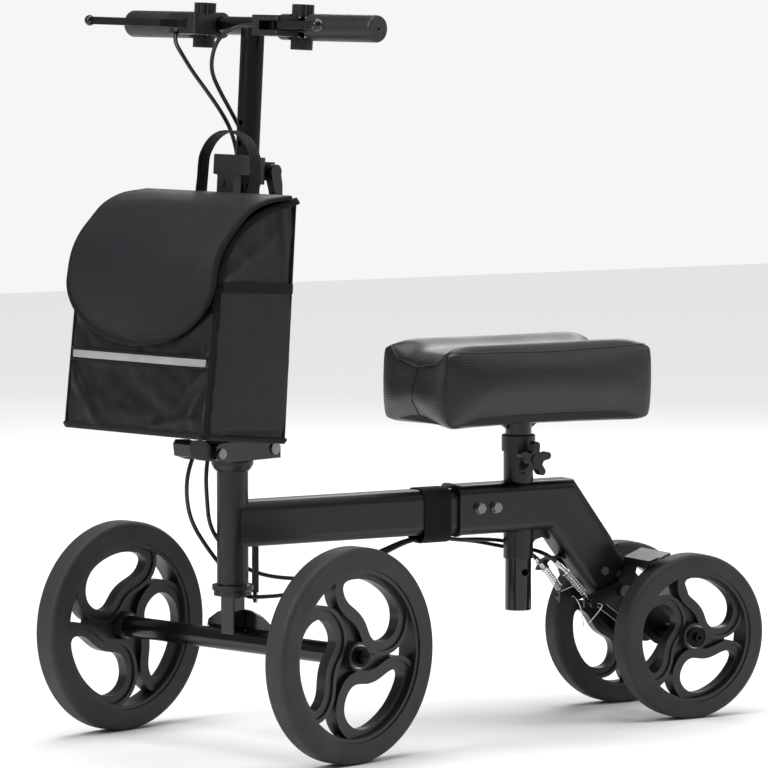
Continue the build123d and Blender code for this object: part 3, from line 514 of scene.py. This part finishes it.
def through(points, count):
    """A smooth line of even steps through points, as a Catmull-Rom curve."""
    ends = [points[0] * 2 - points[1]] + list(points) + [points[-1] * 2 - points[-2]]
    fine = []
    for a, b, c, d in zip(ends, ends[1:], ends[2:], ends[3:]):
        for i in range(24):
            t = i / 24
            square, cube = 2 * a - 5 * b + 4 * c - d, 3 * b - a - 3 * c + d
            fine.append(0.5 * (2 * b + (c - a) * t + square * t * t + cube * t**3))
    fine.append(points[-1])
    return even(fine, count)


def even(fine, count):
    """The same line with points at even distances."""
    far = [0.0]
    for a, b in zip(fine, fine[1:]):
        far.append(far[-1] + (b - a).length)
    out, k = [], 0
    for i in range(count):
        want = far[-1] * i / (count - 1)
        while k < len(far) - 2 and far[k + 1] < want:
            k += 1
        span = far[k + 1] - far[k]
        out.append(fine[k].lerp(fine[k + 1], (want - far[k]) / span if span else 0.0))
    return out


def joined(name, parts, body):
    """Several meshes as one piece on one body."""
    bpy.ops.object.select_all(action="DESELECT")
    for part in parts:
        part.select_set(True)
    bpy.context.view_layer.objects.active = parts[0]
    bpy.ops.object.join()
    parts[0].name = name
    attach(parts[0], body)
    return parts[0]


print("builders ready")

# %% [markdown]
# ## The bag's body
# The real bag is a box of nylon panels that stands open at the top, under the lid. It is lofted here: one
# outline of rounded corners is carried from the floor of the bag up to the slanting rim. The panels bulge
# and pucker a little between their seams, because cloth never hangs flat.

# %% Bag body
HALF_WIDTH = 120.0
FRONT_LOW, FRONT_HIGH = Vector((-165, 377)), Vector((-155, 553))
BACK_LOW, BACK_HIGH = Vector((-36, 372)), Vector((-34, 652))
RIM = [(-155, 553), (-149, 578), (-137, 600), (-119, 617), (-92, 633), (-66, 642), (-46, 648), (-34, 651)]
CORNER = 9.0


def front_y(z):
    share = (z - FRONT_LOW.y) / (FRONT_HIGH.y - FRONT_LOW.y)
    return FRONT_LOW.x + (FRONT_HIGH.x - FRONT_LOW.x) * min(share, 1.0)


def back_y(z):
    return BACK_LOW.x + (BACK_HIGH.x - BACK_LOW.x) * (z - BACK_LOW.y) / (BACK_HIGH.y - BACK_LOW.y)


def rim_z(y):
    for (y0, z0), (y1, z1) in zip(RIM, RIM[1:]):
        if y <= y1:
            return z0 + (z1 - z0) * max(0.0, (y - y0) / (y1 - y0))
    return RIM[-1][1]


# Each wall has two ends, as (side, front 0 or back 1), and an outward direction.
WALLS = [
    ((-1, 0), (1, 0), (0, -1)), ((1, 0), (1, 1), (1, 0)),
    ((1, 1), (-1, 1), (0, 1)), ((-1, 1), (-1, 0), (-1, 0)),
]
DEPTH, PANEL_HEIGHT = 125.0, 270


def outline(step):
    """Points round the bag, as (x in mm, share from front 0 to back 1, outward direction)."""
    spots = []
    for (xa, sa), (xb, sb), out in WALLS:
        out = Vector(out)
        length = abs(xb - xa) * HALF_WIDTH + abs(sb - sa) * DEPTH - 2 * CORNER
        count = int(length / step)
        for i in range(count + 1):
            share = (CORNER + length * i / count) / (length + 2 * CORNER)
            spots.append((HALF_WIDTH * (xa + (xb - xa) * share), sa + (sb - sa) * share, out))
        way = Vector((xb - xa, sb - sa)).normalized()
        for i in range(1, 4):
            a = math.radians(90 * i / 4)
            mix = out * math.cos(a) + way * math.sin(a)
            x = (HALF_WIDTH - CORNER) * xb + CORNER * mix.x
            spots.append((x, sb + (CORNER / DEPTH) * ((1 if sb == 0 else -1) + mix.y), mix))
    return spots


# Each fold has two ends, a height and a width.
FRONT_FOLDS = [
    ((118, 462), (52, 392), 3.0, 5.0), ((112, 440), (84, 380), -3.0, 6.0),
    ((-116, 446), (-70, 388), 2.6, 7.0), ((116, 520), (70, 486), 2.2, 5.0),
    ((-114, 512), (-78, 482), 2.0, 5.0), ((30, 384), (96, 398), 2.2, 5.0),
]
SIDE_FOLDS = [
    ((-150, 560), (-60, 610), 3.0, 8.0), ((-140, 600), (-50, 560), -2.6, 9.0),
    ((-60, 640), (-44, 560), 2.4, 6.0),
]


def creased(a, b, folds):
    """Height in mm of the folds at a point of a panel. Each fold is a soft ridge between two points."""
    height = 0.0
    for (xa, za), (xb, zb), tall, wide in folds:
        run = Vector((xb - xa, zb - za))
        t = min(max((Vector((a - xa, b - za)).dot(run)) / run.length_squared, 0.0), 1.0)
        away = (Vector((a - xa, b - za)) - run * t).length
        height += tall * math.exp(-((away / wide) ** 2)) * (1 - t * 0.7)
    return height


def pucker(x, y, z, size):
    """A smooth random number from about -1 to 1 that changes over a distance of size millimetres."""
    return noise.noise(Vector((x, y, z)) / size)


def bag_point(x, share, out, z):
    yf, yb = front_y(z), back_y(z)
    y = yf + (yb - yf) * share
    height = math.sin(math.pi * min(max((z - FRONT_LOW.y) / PANEL_HEIGHT, 0), 1))
    swell = height * (1 - (abs(x) / HALF_WIDTH) ** 4) if out.y < -0.5 else 0.0
    if abs(out.x) > 0.5:
        swell = 0.5 * height * math.sin(math.pi * min(max(share, 0), 1))
    push = 4.0 * swell + 2.2 * pucker(x, y, z, 42) + 1.0 * pucker(x, y, z, 15)
    if out.y < -0.5:
        push += creased(x, z, FRONT_FOLDS)
    elif abs(out.x) > 0.5:
        push += creased(y, z, SIDE_FOLDS)
    return Vector((x + out.x * push, y + out.y * push, z))


def bag_rows(levels=64):
    rows, spots = [], outline(4.0)
    rear, front = back_y(600), front_y(553)
    for level in range(levels + 1):
        row = []
        for x, share, out in spots:
            top = rim_z(rear + (1 - share) * (front - rear))
            low = FRONT_LOW.y + (BACK_LOW.y - FRONT_LOW.y) * share
            z = low + (top - low) * level / levels
            row.append(bag_point(x, share, out, z))
        rows.append(row)
    return rows


def bag_floor(row):
    """The bottom panel: rings that shrink to the middle and sag a little."""
    middle = sum(row, Vector()) / len(row)
    return [[middle.lerp(p, k / 5) - Vector((0, 0, 3.0 * (1 - (k / 5) ** 2))) for p in row] for k in range(5)]


body_rows = bag_rows()
all_rows = bag_floor(body_rows[0]) + body_rows
bag_body = grid("bag_body", [places(in_mast, row) for row in all_rows], bag_nylon, ring=True)
bag_body.data.materials.append(coated_nylon)
inverse = in_mast.inverted()
for face in bag_body.data.polygons:
    spot = inverse @ face.center / MM
    if spot.y < -140 and spot.z > 379:
        face.material_index = 1
lining = bag_body.modifiers.new("cloth thickness", "SOLIDIFY")
lining.thickness, lining.offset = 2.2 * MM, -1.0
HINGE_LINE = ((-34, 645), (-34, 650), (-38, 652), (-44.5, 652.6))
hinge_rows = [[Vector((x, y, z)) for x in range(-118, 119, 4)] for y, z in HINGE_LINE]
hinge_band = grid("hinge_band", [places(in_mast, row) for row in hinge_rows], bag_nylon)
band_cloth = hinge_band.modifiers.new("cloth thickness", "SOLIDIFY")
band_cloth.thickness, band_cloth.offset = 1.2 * MM, -1.0
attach(hinge_band, "mast")
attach(bag_body, "mast")
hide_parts("bag_shell")
print("bag body", len(bag_body.data.vertices), "points")

# %% [markdown]
# ## The lid
# The lid is one padded panel. It starts at the back edge, rolls over the top and ends at the front in half an
# ellipse. Thin foam between two sheets gives it a full, crowned look, so its middle stands a few millimetres
# proud of its bound edge.

# %% Lid
LID_LINE = [
    (-46, 655), (-84, 649), (-112, 637), (-132, 619), (-150, 599),
    (-161, 577), (-165.5, 550), (-167, 520), (-167.5, 480),
]
LID_HALF, LID_STRAIGHT_END, LID_DROP = 117.5, 552.0, 71.0


def lid_half_width(z, front):
    if not front or z > LID_STRAIGHT_END:
        return LID_HALF
    return LID_HALF * math.sqrt(max(0.0, 1 - ((LID_STRAIGHT_END - z) / LID_DROP) ** 2))


LID_FOLDS = [
    ((96, 8), (40, 22), 3.0, 5.0), ((104, 20), (60, 30), -2.5, 5.0),
    ((-90, 10), (-30, 20), 2.5, 6.0), ((100, 52), (76, 66), 2.0, 5.0),
]
LID_STEPS = 90
lid_line = through([Vector((0, y, z)) for y, z in LID_LINE], LID_STEPS)
lid_rows = []
for i, spot in enumerate(lid_line):
    way = (lid_line[min(i + 1, LID_STEPS - 1)] - lid_line[max(i - 1, 0)]).normalized()
    out = Vector((0, way.z, -way.y)) * (1 if way.y < 0 or way.z < 0 else -1)
    half = max(lid_half_width(spot.z, i > 40), 1.0)
    row = []
    for k in range(41):
        t = math.sin(math.pi / 2 * (k / 20 - 1))
        x = half * t
        edge_gap = (1 - t * t) * math.sin(math.pi * min(i / 84, 1.0)) ** 0.6 * min(i / 24, 1.0)
        crown = 6.5 * edge_gap + 1.0 * pucker(x, spot.y, spot.z, 45) * edge_gap
        crown += creased(x, i, LID_FOLDS) * edge_gap
        row.append(Vector((x, spot.y, spot.z)) + out * crown)
    lid_rows.append(row)
lid_panel = grid("lid_panel", [places(in_mast, row) for row in lid_rows], bag_nylon)
foam = lid_panel.modifiers.new("foam", "SOLIDIFY")
foam.thickness, foam.offset = 2.6 * MM, -1.0
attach(lid_panel, "bag_lid")
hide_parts("bag_lid")

edge = [row[0] for row in lid_rows] + [row[-1] for row in reversed(lid_rows)]
turned = in_mast.to_3x3()
lid_binding = strip("lid_binding", even(places(in_mast, edge), 220), [turned @ Vector((0, -0.7, 0.7))] * 220,
                    rounded(13.0, 5.2), binding_tape)
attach(lid_binding, "bag_lid")
print("lid", len(lid_panel.data.vertices), "points")

# %% [markdown]
# ## Bindings, stripe and pockets
# Ribbed tape is folded over every raw edge and stitched. It runs up the four upright corners, along the rim
# of each side panel and round the floor. A reflective stripe crosses the front. Each side has a net pocket
# under an elastic band.

# %% Bindings
def column(x_sign, share, low, high, count=40):
    """Path up one corner of the bag."""
    x, line = x_sign * (HALF_WIDTH - 2.0), []
    for i in range(count):
        z = low + (high - low) * i / (count - 1)
        y = front_y(z) + (back_y(z) - front_y(z)) * share
        line.append(Vector((x, y + (2.0 if share == 0 else -2.0), z)))
    return line


def side_rim(x_sign):
    points = [Vector((x_sign * (HALF_WIDTH + 0.5), y, z + 0.5)) for y, z in RIM]
    return through(points, 50)


def tape(line, outward, size):
    """Binding tape along a line, folded over an edge that faces outward."""
    up = turned @ Vector(outward).normalized()
    return strip("tape", places(in_mast, line), up, rounded(*size), binding_tape)


tapes = []
for side in (-1, 1):
    tapes.append(tape(column(side, 0, 378, 556), (side, -1, 0), (9.5, 4.2)))
    tapes.append(tape(column(side, 1, 374, 652), (side, 1, 0), (9.0, 4.2)))
    tapes.append(tape(side_rim(side), (side, -0.5, 0.6), (9.0, 4.2)))
    low = [Vector((side * (HALF_WIDTH - 1), y, 377 - 5 * (y + 165) / 129)) for y in range(-164, -34, 4)]
    tapes.append(tape(low, (side, 0, -1), (8.0, 4.0)))
front_low = [Vector((x, -164, 377)) for x in range(-118, 120, 6)]
tapes.append(tape(front_low, (0, -1, -0.6), (8.0, 4.0)))
bag_binding = joined("bag_binding", tapes, "mast")


def front_strip(name, z, width, thickness, material, reach):
    """A flat tape across the front panel that follows its swell."""
    line = []
    for i in range(60):
        x = -reach + 2 * reach * i / 59
        spot = bag_point(x, 0.0, Vector((0, -1)), z)
        line.append(spot + Vector((0, -0.9, 0)))
    section = rounded(width, thickness, power=0.35)
    return strip(name, places(in_mast, line), turned @ Vector((0, -1, 0)), section, material)


STRIPE_Z = 461
stripe = front_strip("reflective_stripe", STRIPE_Z, 9.0, 1.6, reflective_tape, 112)
hems = [front_strip("seam", z, 3.0, 1.8, binding_tape, 114) for z in (STRIPE_Z - 6.5, STRIPE_Z + 6.5)]
stripe_seams = joined("stripe_binding", hems, "mast")
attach(stripe, "mast")


POCKET_LOW, POCKET_HIGH, BELLY = 384, 547, 5.5


def pocket(side):
    """Net panel that stands a few millimetres off the side, under an elastic band."""
    rows = []
    for r in range(21):
        z = POCKET_LOW + (POCKET_HIGH - POCKET_LOW) * r / 20
        row = []
        for c in range(21):
            share = c / 20
            y = front_y(z) + 3 + (back_y(z) - front_y(z) - 6) * share
            belly = BELLY * math.sin(math.pi * share) ** 0.6 * math.sin(math.pi * (0.1 + 0.85 * r / 20))
            row.append(Vector((side * (HALF_WIDTH + 1.6 + belly + 1.2 * pucker(side * 50, y, z, 22)), y, z)))
        rows.append(row)
    net = grid("net", [places(in_mast, row) for row in rows], pocket_net)
    band = []
    for c in range(30):
        share = c / 29
        top = POCKET_HIGH + 1
        y = front_y(top) + 3 + (back_y(top) - front_y(top) - 6) * share
        belly = BELLY * math.sin(math.pi * share) ** 0.6 * math.sin(math.pi * 0.95)
        band.append(Vector((side * (HALF_WIDTH + 2.0 + belly), y, top + 1)))
    section = rounded(12.0, 2.2, power=0.4)
    elastic = strip("elastic", places(in_mast, band), turned @ Vector((side, 0, 0)), section, binding_tape)
    return [net, elastic]


pockets = joined("net_pockets", pocket(-1) + pocket(1), "mast")
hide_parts("mesh_pockets")
print("bindings and pockets ready")

# %% [markdown]
# ## Webbing handle
# A loop of 18 mm webbing is sewn to the back of the bag. Stiff webbing stands up by itself in an arch.

# %% Handle
ARCH_RADIUS, ARCH_Z, HANDLE_Y = 44.5, 684.0, -29.0


def handle_line():
    legs = ((41, HANDLE_Y - 4, 640), (42.5, HANDLE_Y - 3, 656), (44.5, HANDLE_Y, 672))
    points = [Vector((-x, y, z)) for x, y, z in legs]
    for i in range(1, 12):
        a = math.pi - math.pi * i / 12
        points.append(Vector((ARCH_RADIUS * math.cos(a), HANDLE_Y, ARCH_Z + (ARCH_RADIUS + 1) * math.sin(a))))
    return through(points + [Vector(leg) for leg in reversed(legs)], 90)


handle_path = handle_line()
handle_outs = [turned @ Vector((p.x, 0, p.z - 668)).normalized() for p in handle_path]
section = rounded(18.0, 1.8, power=0.3)
handle = strip("webbing_handle", places(in_mast, handle_path), handle_outs, section, webbing)
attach(handle, "mast")
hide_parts("bag_handle")
print("handle", len(handle.data.vertices), "points")

# %% [markdown]
# ## Embossed vinyl
# The pad is covered in foamed vinyl: smooth on top, and embossed with small squares about 3 mm apart on the
# sides. The squares run round the corners, so the pattern's first coordinate grows across the end faces and
# then along the sides.

# %% Vinyl
PAD_LOW, PAD_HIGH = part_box("knee_pad")
PAD_MIDDLE = (PAD_LOW + PAD_HIGH) / 2
SQUARE_PITCH = 3.2      # mm


def vinyl():
    skin = {"IOR": 1.52, "Coat_Weight": 0.05, "Coat_Roughness": 0.3}
    material, tree, shader = finish("embossed_vinyl", "#141517", 0.42, **skin)
    where = mottled(tree, shader, "#141517", 50, 0.10)
    spot = add(tree, "ShaderNodeSeparateXYZ", {"Vector": where.outputs["Object"]})
    aways = []
    for axis, middle in (("X", PAD_MIDDLE.x), ("Y", PAD_MIDDLE.y)):
        side = add(tree, "ShaderNodeMath", {0: spot.outputs[axis], 1: middle}, operation="SUBTRACT")
        aways.append(add(tree, "ShaderNodeMath", {0: side.outputs[0]}, operation="ABSOLUTE").outputs[0])
    round_way = add(tree, "ShaderNodeMath", {0: aways[0], 1: aways[1]}, operation="SUBTRACT")
    across = ripples(tree, round_way.outputs[0], SQUARE_PITCH)
    upward = ripples(tree, spot.outputs["Z"], SQUARE_PITCH)
    squares = add(tree, "ShaderNodeMath", {0: across, 1: upward}, operation="MULTIPLY")
    facing = add(tree, "ShaderNodeNewGeometry")
    slope = add(tree, "ShaderNodeSeparateXYZ", {"Vector": facing.outputs["Normal"]})
    limits = {"From Min": 0.35, "From Max": 0.55, "To Min": 1.0, "To Max": 0.0}
    upright = add(tree, "ShaderNodeMapRange", {"Value": slope.outputs["Z"], **limits})
    both = {0: squares.outputs[0], 1: upright.outputs["Result"]}
    on_sides = add(tree, "ShaderNodeMath", both, operation="MULTIPLY")
    pores = {"Vector": where.outputs["Object"], "Scale": 900.0, "Detail": 2.0}
    leather = add(tree, "ShaderNodeTexNoise", pores)
    relief = {"Height": leather.outputs["Fac"], "Distance": 0.05 * MM, "Strength": 0.5}
    fine = add(tree, "ShaderNodeBump", relief)
    relief = {"Height": on_sides.outputs[0], "Distance": 0.45 * MM, "Strength": 0.75}
    emboss = add(tree, "ShaderNodeBump", {**relief, "Normal": fine.outputs["Normal"]})
    tree.links.new(emboss.outputs["Normal"], shader.inputs["Normal"])
    worn_gloss(tree, shader, where, 0.34, 0.46, 70)
    return material


pad_vinyl = vinyl()

# %% [markdown]
# ## The knee pad
# A block of foam with a shallow trough for the shin is wrapped in vinyl and stapled under the board. The
# cover is pulled tight, so the faces swell between the seams and the corners draw down. The block is blown
# up as cloth with a little pressure, which gives those swells, and the seams are laid on it afterwards.

# %% Knee pad
PAD_INSET = 1.0 * MM
TROUGH_DEPTH = 15 * MM
TROUGH_EDGE, TROUGH_SLOPE = 76, 50           # mm from the middle, and mm that the slope takes
SKIRT, CORNER_DROP = 22 * MM, 6.5 * MM       # the part of the cover that draws down, and by how much


def pad_block():
    """The foam block, as a fine box with the trough pressed into its top."""
    size = PAD_HIGH - PAD_LOW - Vector((2, 2, 0)) * PAD_INSET
    mesh = bpy.data.meshes.new("knee_pad_cover")
    helper = bmesh.new()
    bmesh.ops.create_cube(helper, size=1.0)
    bmesh.ops.subdivide_edges(helper, edges=helper.edges, cuts=15, use_grid_fill=True)
    for v in helper.verts:
        top = max(0.0, (v.co.z + 0.5)) ** 2
        across = abs(v.co.x) * size.x / MM
        slope = min(max((TROUGH_EDGE - across) / TROUGH_SLOPE, 0.0), 1.0)
        drop = TROUGH_DEPTH * (slope * slope * (3 - 2 * slope))
        z = v.co.z * (size.z - 3 * MM) - drop * top
        v.co = Vector((v.co.x * size.x, v.co.y * size.y, z)) + PAD_MIDDLE
    helper.to_mesh(mesh)
    helper.free()
    return new_piece("knee_pad_cover", mesh, pad_vinyl)


def apply_modifiers(thing):
    bpy.ops.object.select_all(action="DESELECT")
    bpy.context.view_layer.objects.active = thing
    thing.select_set(True)
    for modifier in list(thing.modifiers):
        bpy.ops.object.modifier_apply(modifier=modifier.name)


def blown_up(thing, voxel_mm, pressure, frames, cap_mm):
    """Cloth with a little air in it. No point moves further than the cap."""
    remesh = thing.modifiers.new("even mesh", "REMESH")
    remesh.mode, remesh.voxel_size = "VOXEL", voxel_mm * MM
    apply_modifiers(thing)
    rest = [v.co.copy() for v in thing.data.vertices]
    cloth = thing.modifiers.new("cover", "CLOTH")
    cloth.settings.use_pressure = True
    cloth.settings.uniform_pressure_force = pressure
    cloth.settings.effector_weights.gravity = 0.0
    cloth.settings.quality = 5
    scene = bpy.context.scene
    for step in range(1, frames + 1):
        scene.frame_set(step)
    apply_modifiers(thing)
    for v, home in zip(thing.data.vertices, rest):
        move = v.co - home
        if move.length > cap_mm * MM:
            v.co = home + move.normalized() * cap_mm * MM
    scene.frame_set(1)


knee_pad = pad_block()
blown_up(knee_pad, 5.0, 4.0, 20, 7.0)

for v in knee_pad.data.vertices:
    side = (v.co.x - PAD_MIDDLE.x) / (PAD_HIGH.x - PAD_MIDDLE.x)
    length = (v.co.y - PAD_MIDDLE.y) / (PAD_HIGH.y - PAD_MIDDLE.y)
    low = max(0.0, (PAD_LOW.z + SKIRT - v.co.z) / SKIRT)
    corner = max(0.0, abs(side) - 0.62) * max(0.0, abs(length) - 0.78) / (0.38 * 0.22)
    v.co.z -= min(low, 1.0) * min(corner, 1.0) * CORNER_DROP
    v.co.z = max(v.co.z, PAD_LOW.z - CORNER_DROP)
smooth = knee_pad.modifiers.new("relax", "SMOOTH")
smooth.iterations = 24
finer = knee_pad.modifiers.new("finer", "SUBSURF")
finer.levels = finer.render_levels = 1
apply_modifiers(knee_pad)
for face in knee_pad.data.polygons:
    face.use_smooth = True
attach(knee_pad, "seat")
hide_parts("knee_pad")
print("knee pad", len(knee_pad.data.vertices), "points")

# %% [markdown]
# ## Seams of the pad
# The top panel meets the side band in a seam that follows the edge all round, and the band is closed by
# upright seams at the front and back. A seam is a fine ridge, so it is a thin tube, half sunk in the cover.

# %% Pad seams
SEAM_INSET = 8 * MM
pad_tree = BVHTree.FromObject(knee_pad, bpy.context.evaluated_depsgraph_get())


def on_pad(start, way):
    return pad_tree.ray_cast(start, way)[0]


def top_seam():
    """Round the pad just inside its upper edge."""
    line = []
    half = Vector((PAD_HIGH.x - PAD_MIDDLE.x - SEAM_INSET, PAD_HIGH.y - PAD_MIDDLE.y - SEAM_INSET))
    for i in range(180):
        a = 2 * math.pi * i / 180
        c, s = math.cos(a), math.sin(a)
        x = math.copysign(abs(c) ** 0.13, c) * half.x
        y = math.copysign(abs(s) ** 0.13, s) * half.y
        spot = on_pad(Vector((PAD_MIDDLE.x + x, PAD_MIDDLE.y + y, PAD_HIGH.z + 0.1)), Vector((0, 0, -1)))
        if spot:
            line.append(spot)
    return line


def upright_seam(end):
    line = []
    for i in range(40):
        z = PAD_LOW.z + 4 * MM + (PAD_HIGH.z - TROUGH_DEPTH - PAD_LOW.z - SEAM_INSET) * i / 39
        spot = on_pad(Vector((PAD_MIDDLE.x, PAD_MIDDLE.y + end, z)), Vector((0, -math.copysign(1, end), 0)))
        if spot:
            line.append(spot)
    return line


seam_line = top_seam()
seam_line = even(seam_line + [seam_line[0]], 240)
seams = [strip("seam", seam_line, Vector((0, 0, 1)), rounded(1.8, 1.5, 8, 1.0), pad_vinyl)]
for end in (-0.3, 0.3):
    thread = rounded(1.5, 1.5, 8, 1.0)
    seams.append(strip("seam", even(upright_seam(end), 60), Vector((1, 0, 0)), thread, pad_vinyl))
pad_seams = joined("pad_seams", seams, "seat")
print("seams", len(pad_seams.data.vertices), "points")

# %% [markdown]
# ## Brake cables
# Each brake has one cable in a 5 mm sleeve, from its lever down the column, round the head tube and under
# the beam. A sleeve bends in one smooth line, so its route is a smooth spline. It is cut where it goes from
# one moving body to the next, half-way between two points, where two such splines meet without a kink.

# %% Cable routes
CABLE_WIDTH = 5.0
ADJUSTER_UP = {-1: Vector((0, -0.7071, 0.7071)), 1: Vector((-0.2418, -0.6645, 0.7071))}
ADJUSTER_SPOT = {-1: Vector((-24, 446, 187.4)), 1: Vector((24, 446, 187.4))}


def near_adjuster(side, distance):
    return tuple(ADJUSTER_SPOT[side] + ADJUSTER_UP[side] * distance)


boss_start, boss_end = Vector((-81, -46, 850)), Vector((-77.5, -51, 842))
boss_run = boss_end + (boss_end - boss_start).normalized() * 12
ROUTES = {
    "right": [
        places(in_mast, [
            boss_end, boss_run, (-62, -55, 818), (-51, -46, 797), (-42, -32, 777), (-35, -14, 754),
            (-31, 2, 731), (-28, 12, 700), (-27, 17, 660), (-27, 15, 600),
        ]),
        places(in_mast, [(-26, 17, 540), (-26.5, 16, 480), (-26, 11, 435), (-25, -3, 400)])
        + places(in_fork, [(-27, -18, 376), (-31, -32, 352), (-34, -42, 324), (-35, -42, 294)]),
        places(in_fork, [(-34, -34, 266)])
        + places(in_frame, [
            (-27.5, -20, 236), (-29, 2, 210), (-24, 20, 188), (-9, 21, 175.5), (7, 39.2, 177), (8, 62, 177),
            (5, 100, 181), (4, 150, 196), (3, 203, 218), (3, 246, 233.9), (3, 284, 233.9), (3, 306, 228.8),
            (-6, 342, 227), (-22, 384, 222), (-27, 408, 215.5),
            near_adjuster(-1, 24.5), near_adjuster(-1, 12.5),
        ]),
    ],
    "left": [
        places(in_mast, [
            (45.9, -40, 854), (30, -40, 854), (12, -46, 850), (-6, -50, 838), (-20, -46, 818),
            (-30, -36, 797), (-31, -19, 775), (-28, -2, 752), (-24, 12, 730), (-22, 22, 702),
            (-21, 24, 660), (-20, 23, 600),
        ]),
        places(in_mast, [(-20, 25, 540), (-20.5, 24, 480), (-21, 18, 435), (-24, 6, 400)])
        + places(in_fork, [(-25, -2, 376), (-28, -12, 352), (-29, -16, 322), (-28, -15, 292)]),
        places(in_fork, [(-27, -12, 262)])
        + places(in_frame, [
            (-25, -2, 238), (-20, 16, 216), (-8, 38, 203), (-4, 70, 196), (-4, 112, 193), (-4, 158, 204),
            (-4, 203, 220), (-4, 246, 233.9), (-4, 284, 233.9), (-4, 306, 228.8), (-14, 342, 224),
            (-26, 378, 216), (-25, 400, 211), (-14, 416, 210), (2, 421.5, 209.3),
            near_adjuster(1, 22.5), near_adjuster(1, 12.5),
        ]),
    ],
}


def spline_points(points):
    """Points along the smooth spline that a route's points control."""
    curve = bpy.data.curves.new("route", "CURVE")
    curve.dimensions = "3D"
    line = curve.splines.new("NURBS")
    line.points.add(len(points) - 1)
    for spot, point in zip(line.points, points):
        spot.co = (*point, 1.0)
    line.order_u = 3
    line.use_endpoint_u = True
    line.resolution_u = 10
    holder = bpy.data.objects.new("route", curve)
    mesh = bpy.data.meshes.new_from_object(holder)
    found = [v.co.copy() for v in mesh.vertices]
    bpy.data.objects.remove(holder)
    return found


def tube(name, points, width_mm, material, sides=14):
    """A round tube along points. Its section doesn't twist."""
    up = Vector((0.31, 0.17, 0.93))
    ups = []
    for i, here in enumerate(points):
        way = (points[min(i + 1, len(points) - 1)] - points[max(i - 1, 0)]).normalized()
        up = (up - way * up.dot(way)).normalized()
        ups.append(up.copy())
    return strip(name, points, ups, rounded(width_mm, width_mm, sides, 1.0), material)


BLENDS = [
    ("stem", "mast", (0, 0, 0.835), (0, 0, 0.715)), ("mast", "fork", (0, 0, 0.425), (0, 0, 0.325)),
    ("fork", "frame", (0, -0.305, 0.280), (0, -0.240, 0.205)),
]
CABLE_NODES = [["bar_cables"], ["mast_cables", "fork_cables"], ["frame_cables"]]
for side, stretches in ROUTES.items():
    for i, stretch in enumerate(stretches):
        points = list(stretch)
        if i > 0:
            points.insert(0, (stretches[i - 1][-1] + points[0]) / 2)
        if i < len(stretches) - 1:
            points.append((points[-1] + stretches[i + 1][0]) / 2)
        line = even(spline_points(points), 60 + 60 * i)
        sleeve = tube(f"{side}_cable_{i + 1}", line, CABLE_WIDTH, cable_sleeve)
        body_a, body_b, start, end = BLENDS[i]
        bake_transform(sleeve)
        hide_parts(*CABLE_NODES[i])
print("cables ready")

# %% [markdown]
# ## Return springs and inner wires
# Under each adjuster the bare inner wire runs through a coil spring to the clamp bolt on the brake arm. The
# spring is drawn turn by turn. Past the bolt the spare wire hangs loose.

# %% Springs and wires
SPRING_END = {side: Vector((side * 28.5, 474, 156.5)) for side in (-1, 1)}
CLAMP = {side: Vector((side * 33.5, 481, 144.5)) for side in (-1, 1)}
TAILS = {
    -1: [(-33, 484, 143), (-27, 492, 147), (-21, 497, 140), (-20, 503, 124), (-21, 505, 107)],
    1: [(33, 484, 143), (34, 494, 143), (30, 501, 139), (17, 500, 127), (2, 498, 114)],
}
TURNS, STEPS_A_TURN, COIL_RADIUS, WIRE = 11, 20, 4.0, 1.25


def coil(start, end):
    way = (end - start).normalized()
    a = way.orthogonal().normalized()
    b = way.cross(a)
    points = []
    for i in range(TURNS * STEPS_A_TURN + 1):
        t = i / (TURNS * STEPS_A_TURN)
        turn = 2 * math.pi * TURNS * t
        points.append(start.lerp(end, t) + (a * math.cos(turn) + b * math.sin(turn)) * COIL_RADIUS)
    return points


for side, name in ((-1, "right"), (1, "left")):
    start = ADJUSTER_SPOT[side] - ADJUSTER_UP[side] * 8.2
    end = SPRING_END[side]
    arm = f"{name}_brake_arm"
    spring = tube(f"{name}_spring", places(in_frame, coil(start, end)), WIRE, spring_wire, 8)
    wire_line = places(in_frame, [start, start.lerp(end, 0.5), end, CLAMP[side]])
    wire = tube(f"{name}_inner_wire", wire_line, 1.4, spring_wire, 8)
    for piece in (spring, wire):
        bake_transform(piece)
    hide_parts("brake_springs")
    tail_line = even(spline_points(places(in_frame, TAILS[side])), 40)
    tail = tube(f"{name}_wire_tail", tail_line, 1.3, spring_wire, 8)
    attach(tail, arm)
print("springs ready")

# %% [markdown]
# ## Size of the scene
# The box round the finished scene is measured, without the floor. The finished scene has to
# stay as large as the CAD model says.

# %% Measure the scene
low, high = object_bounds()
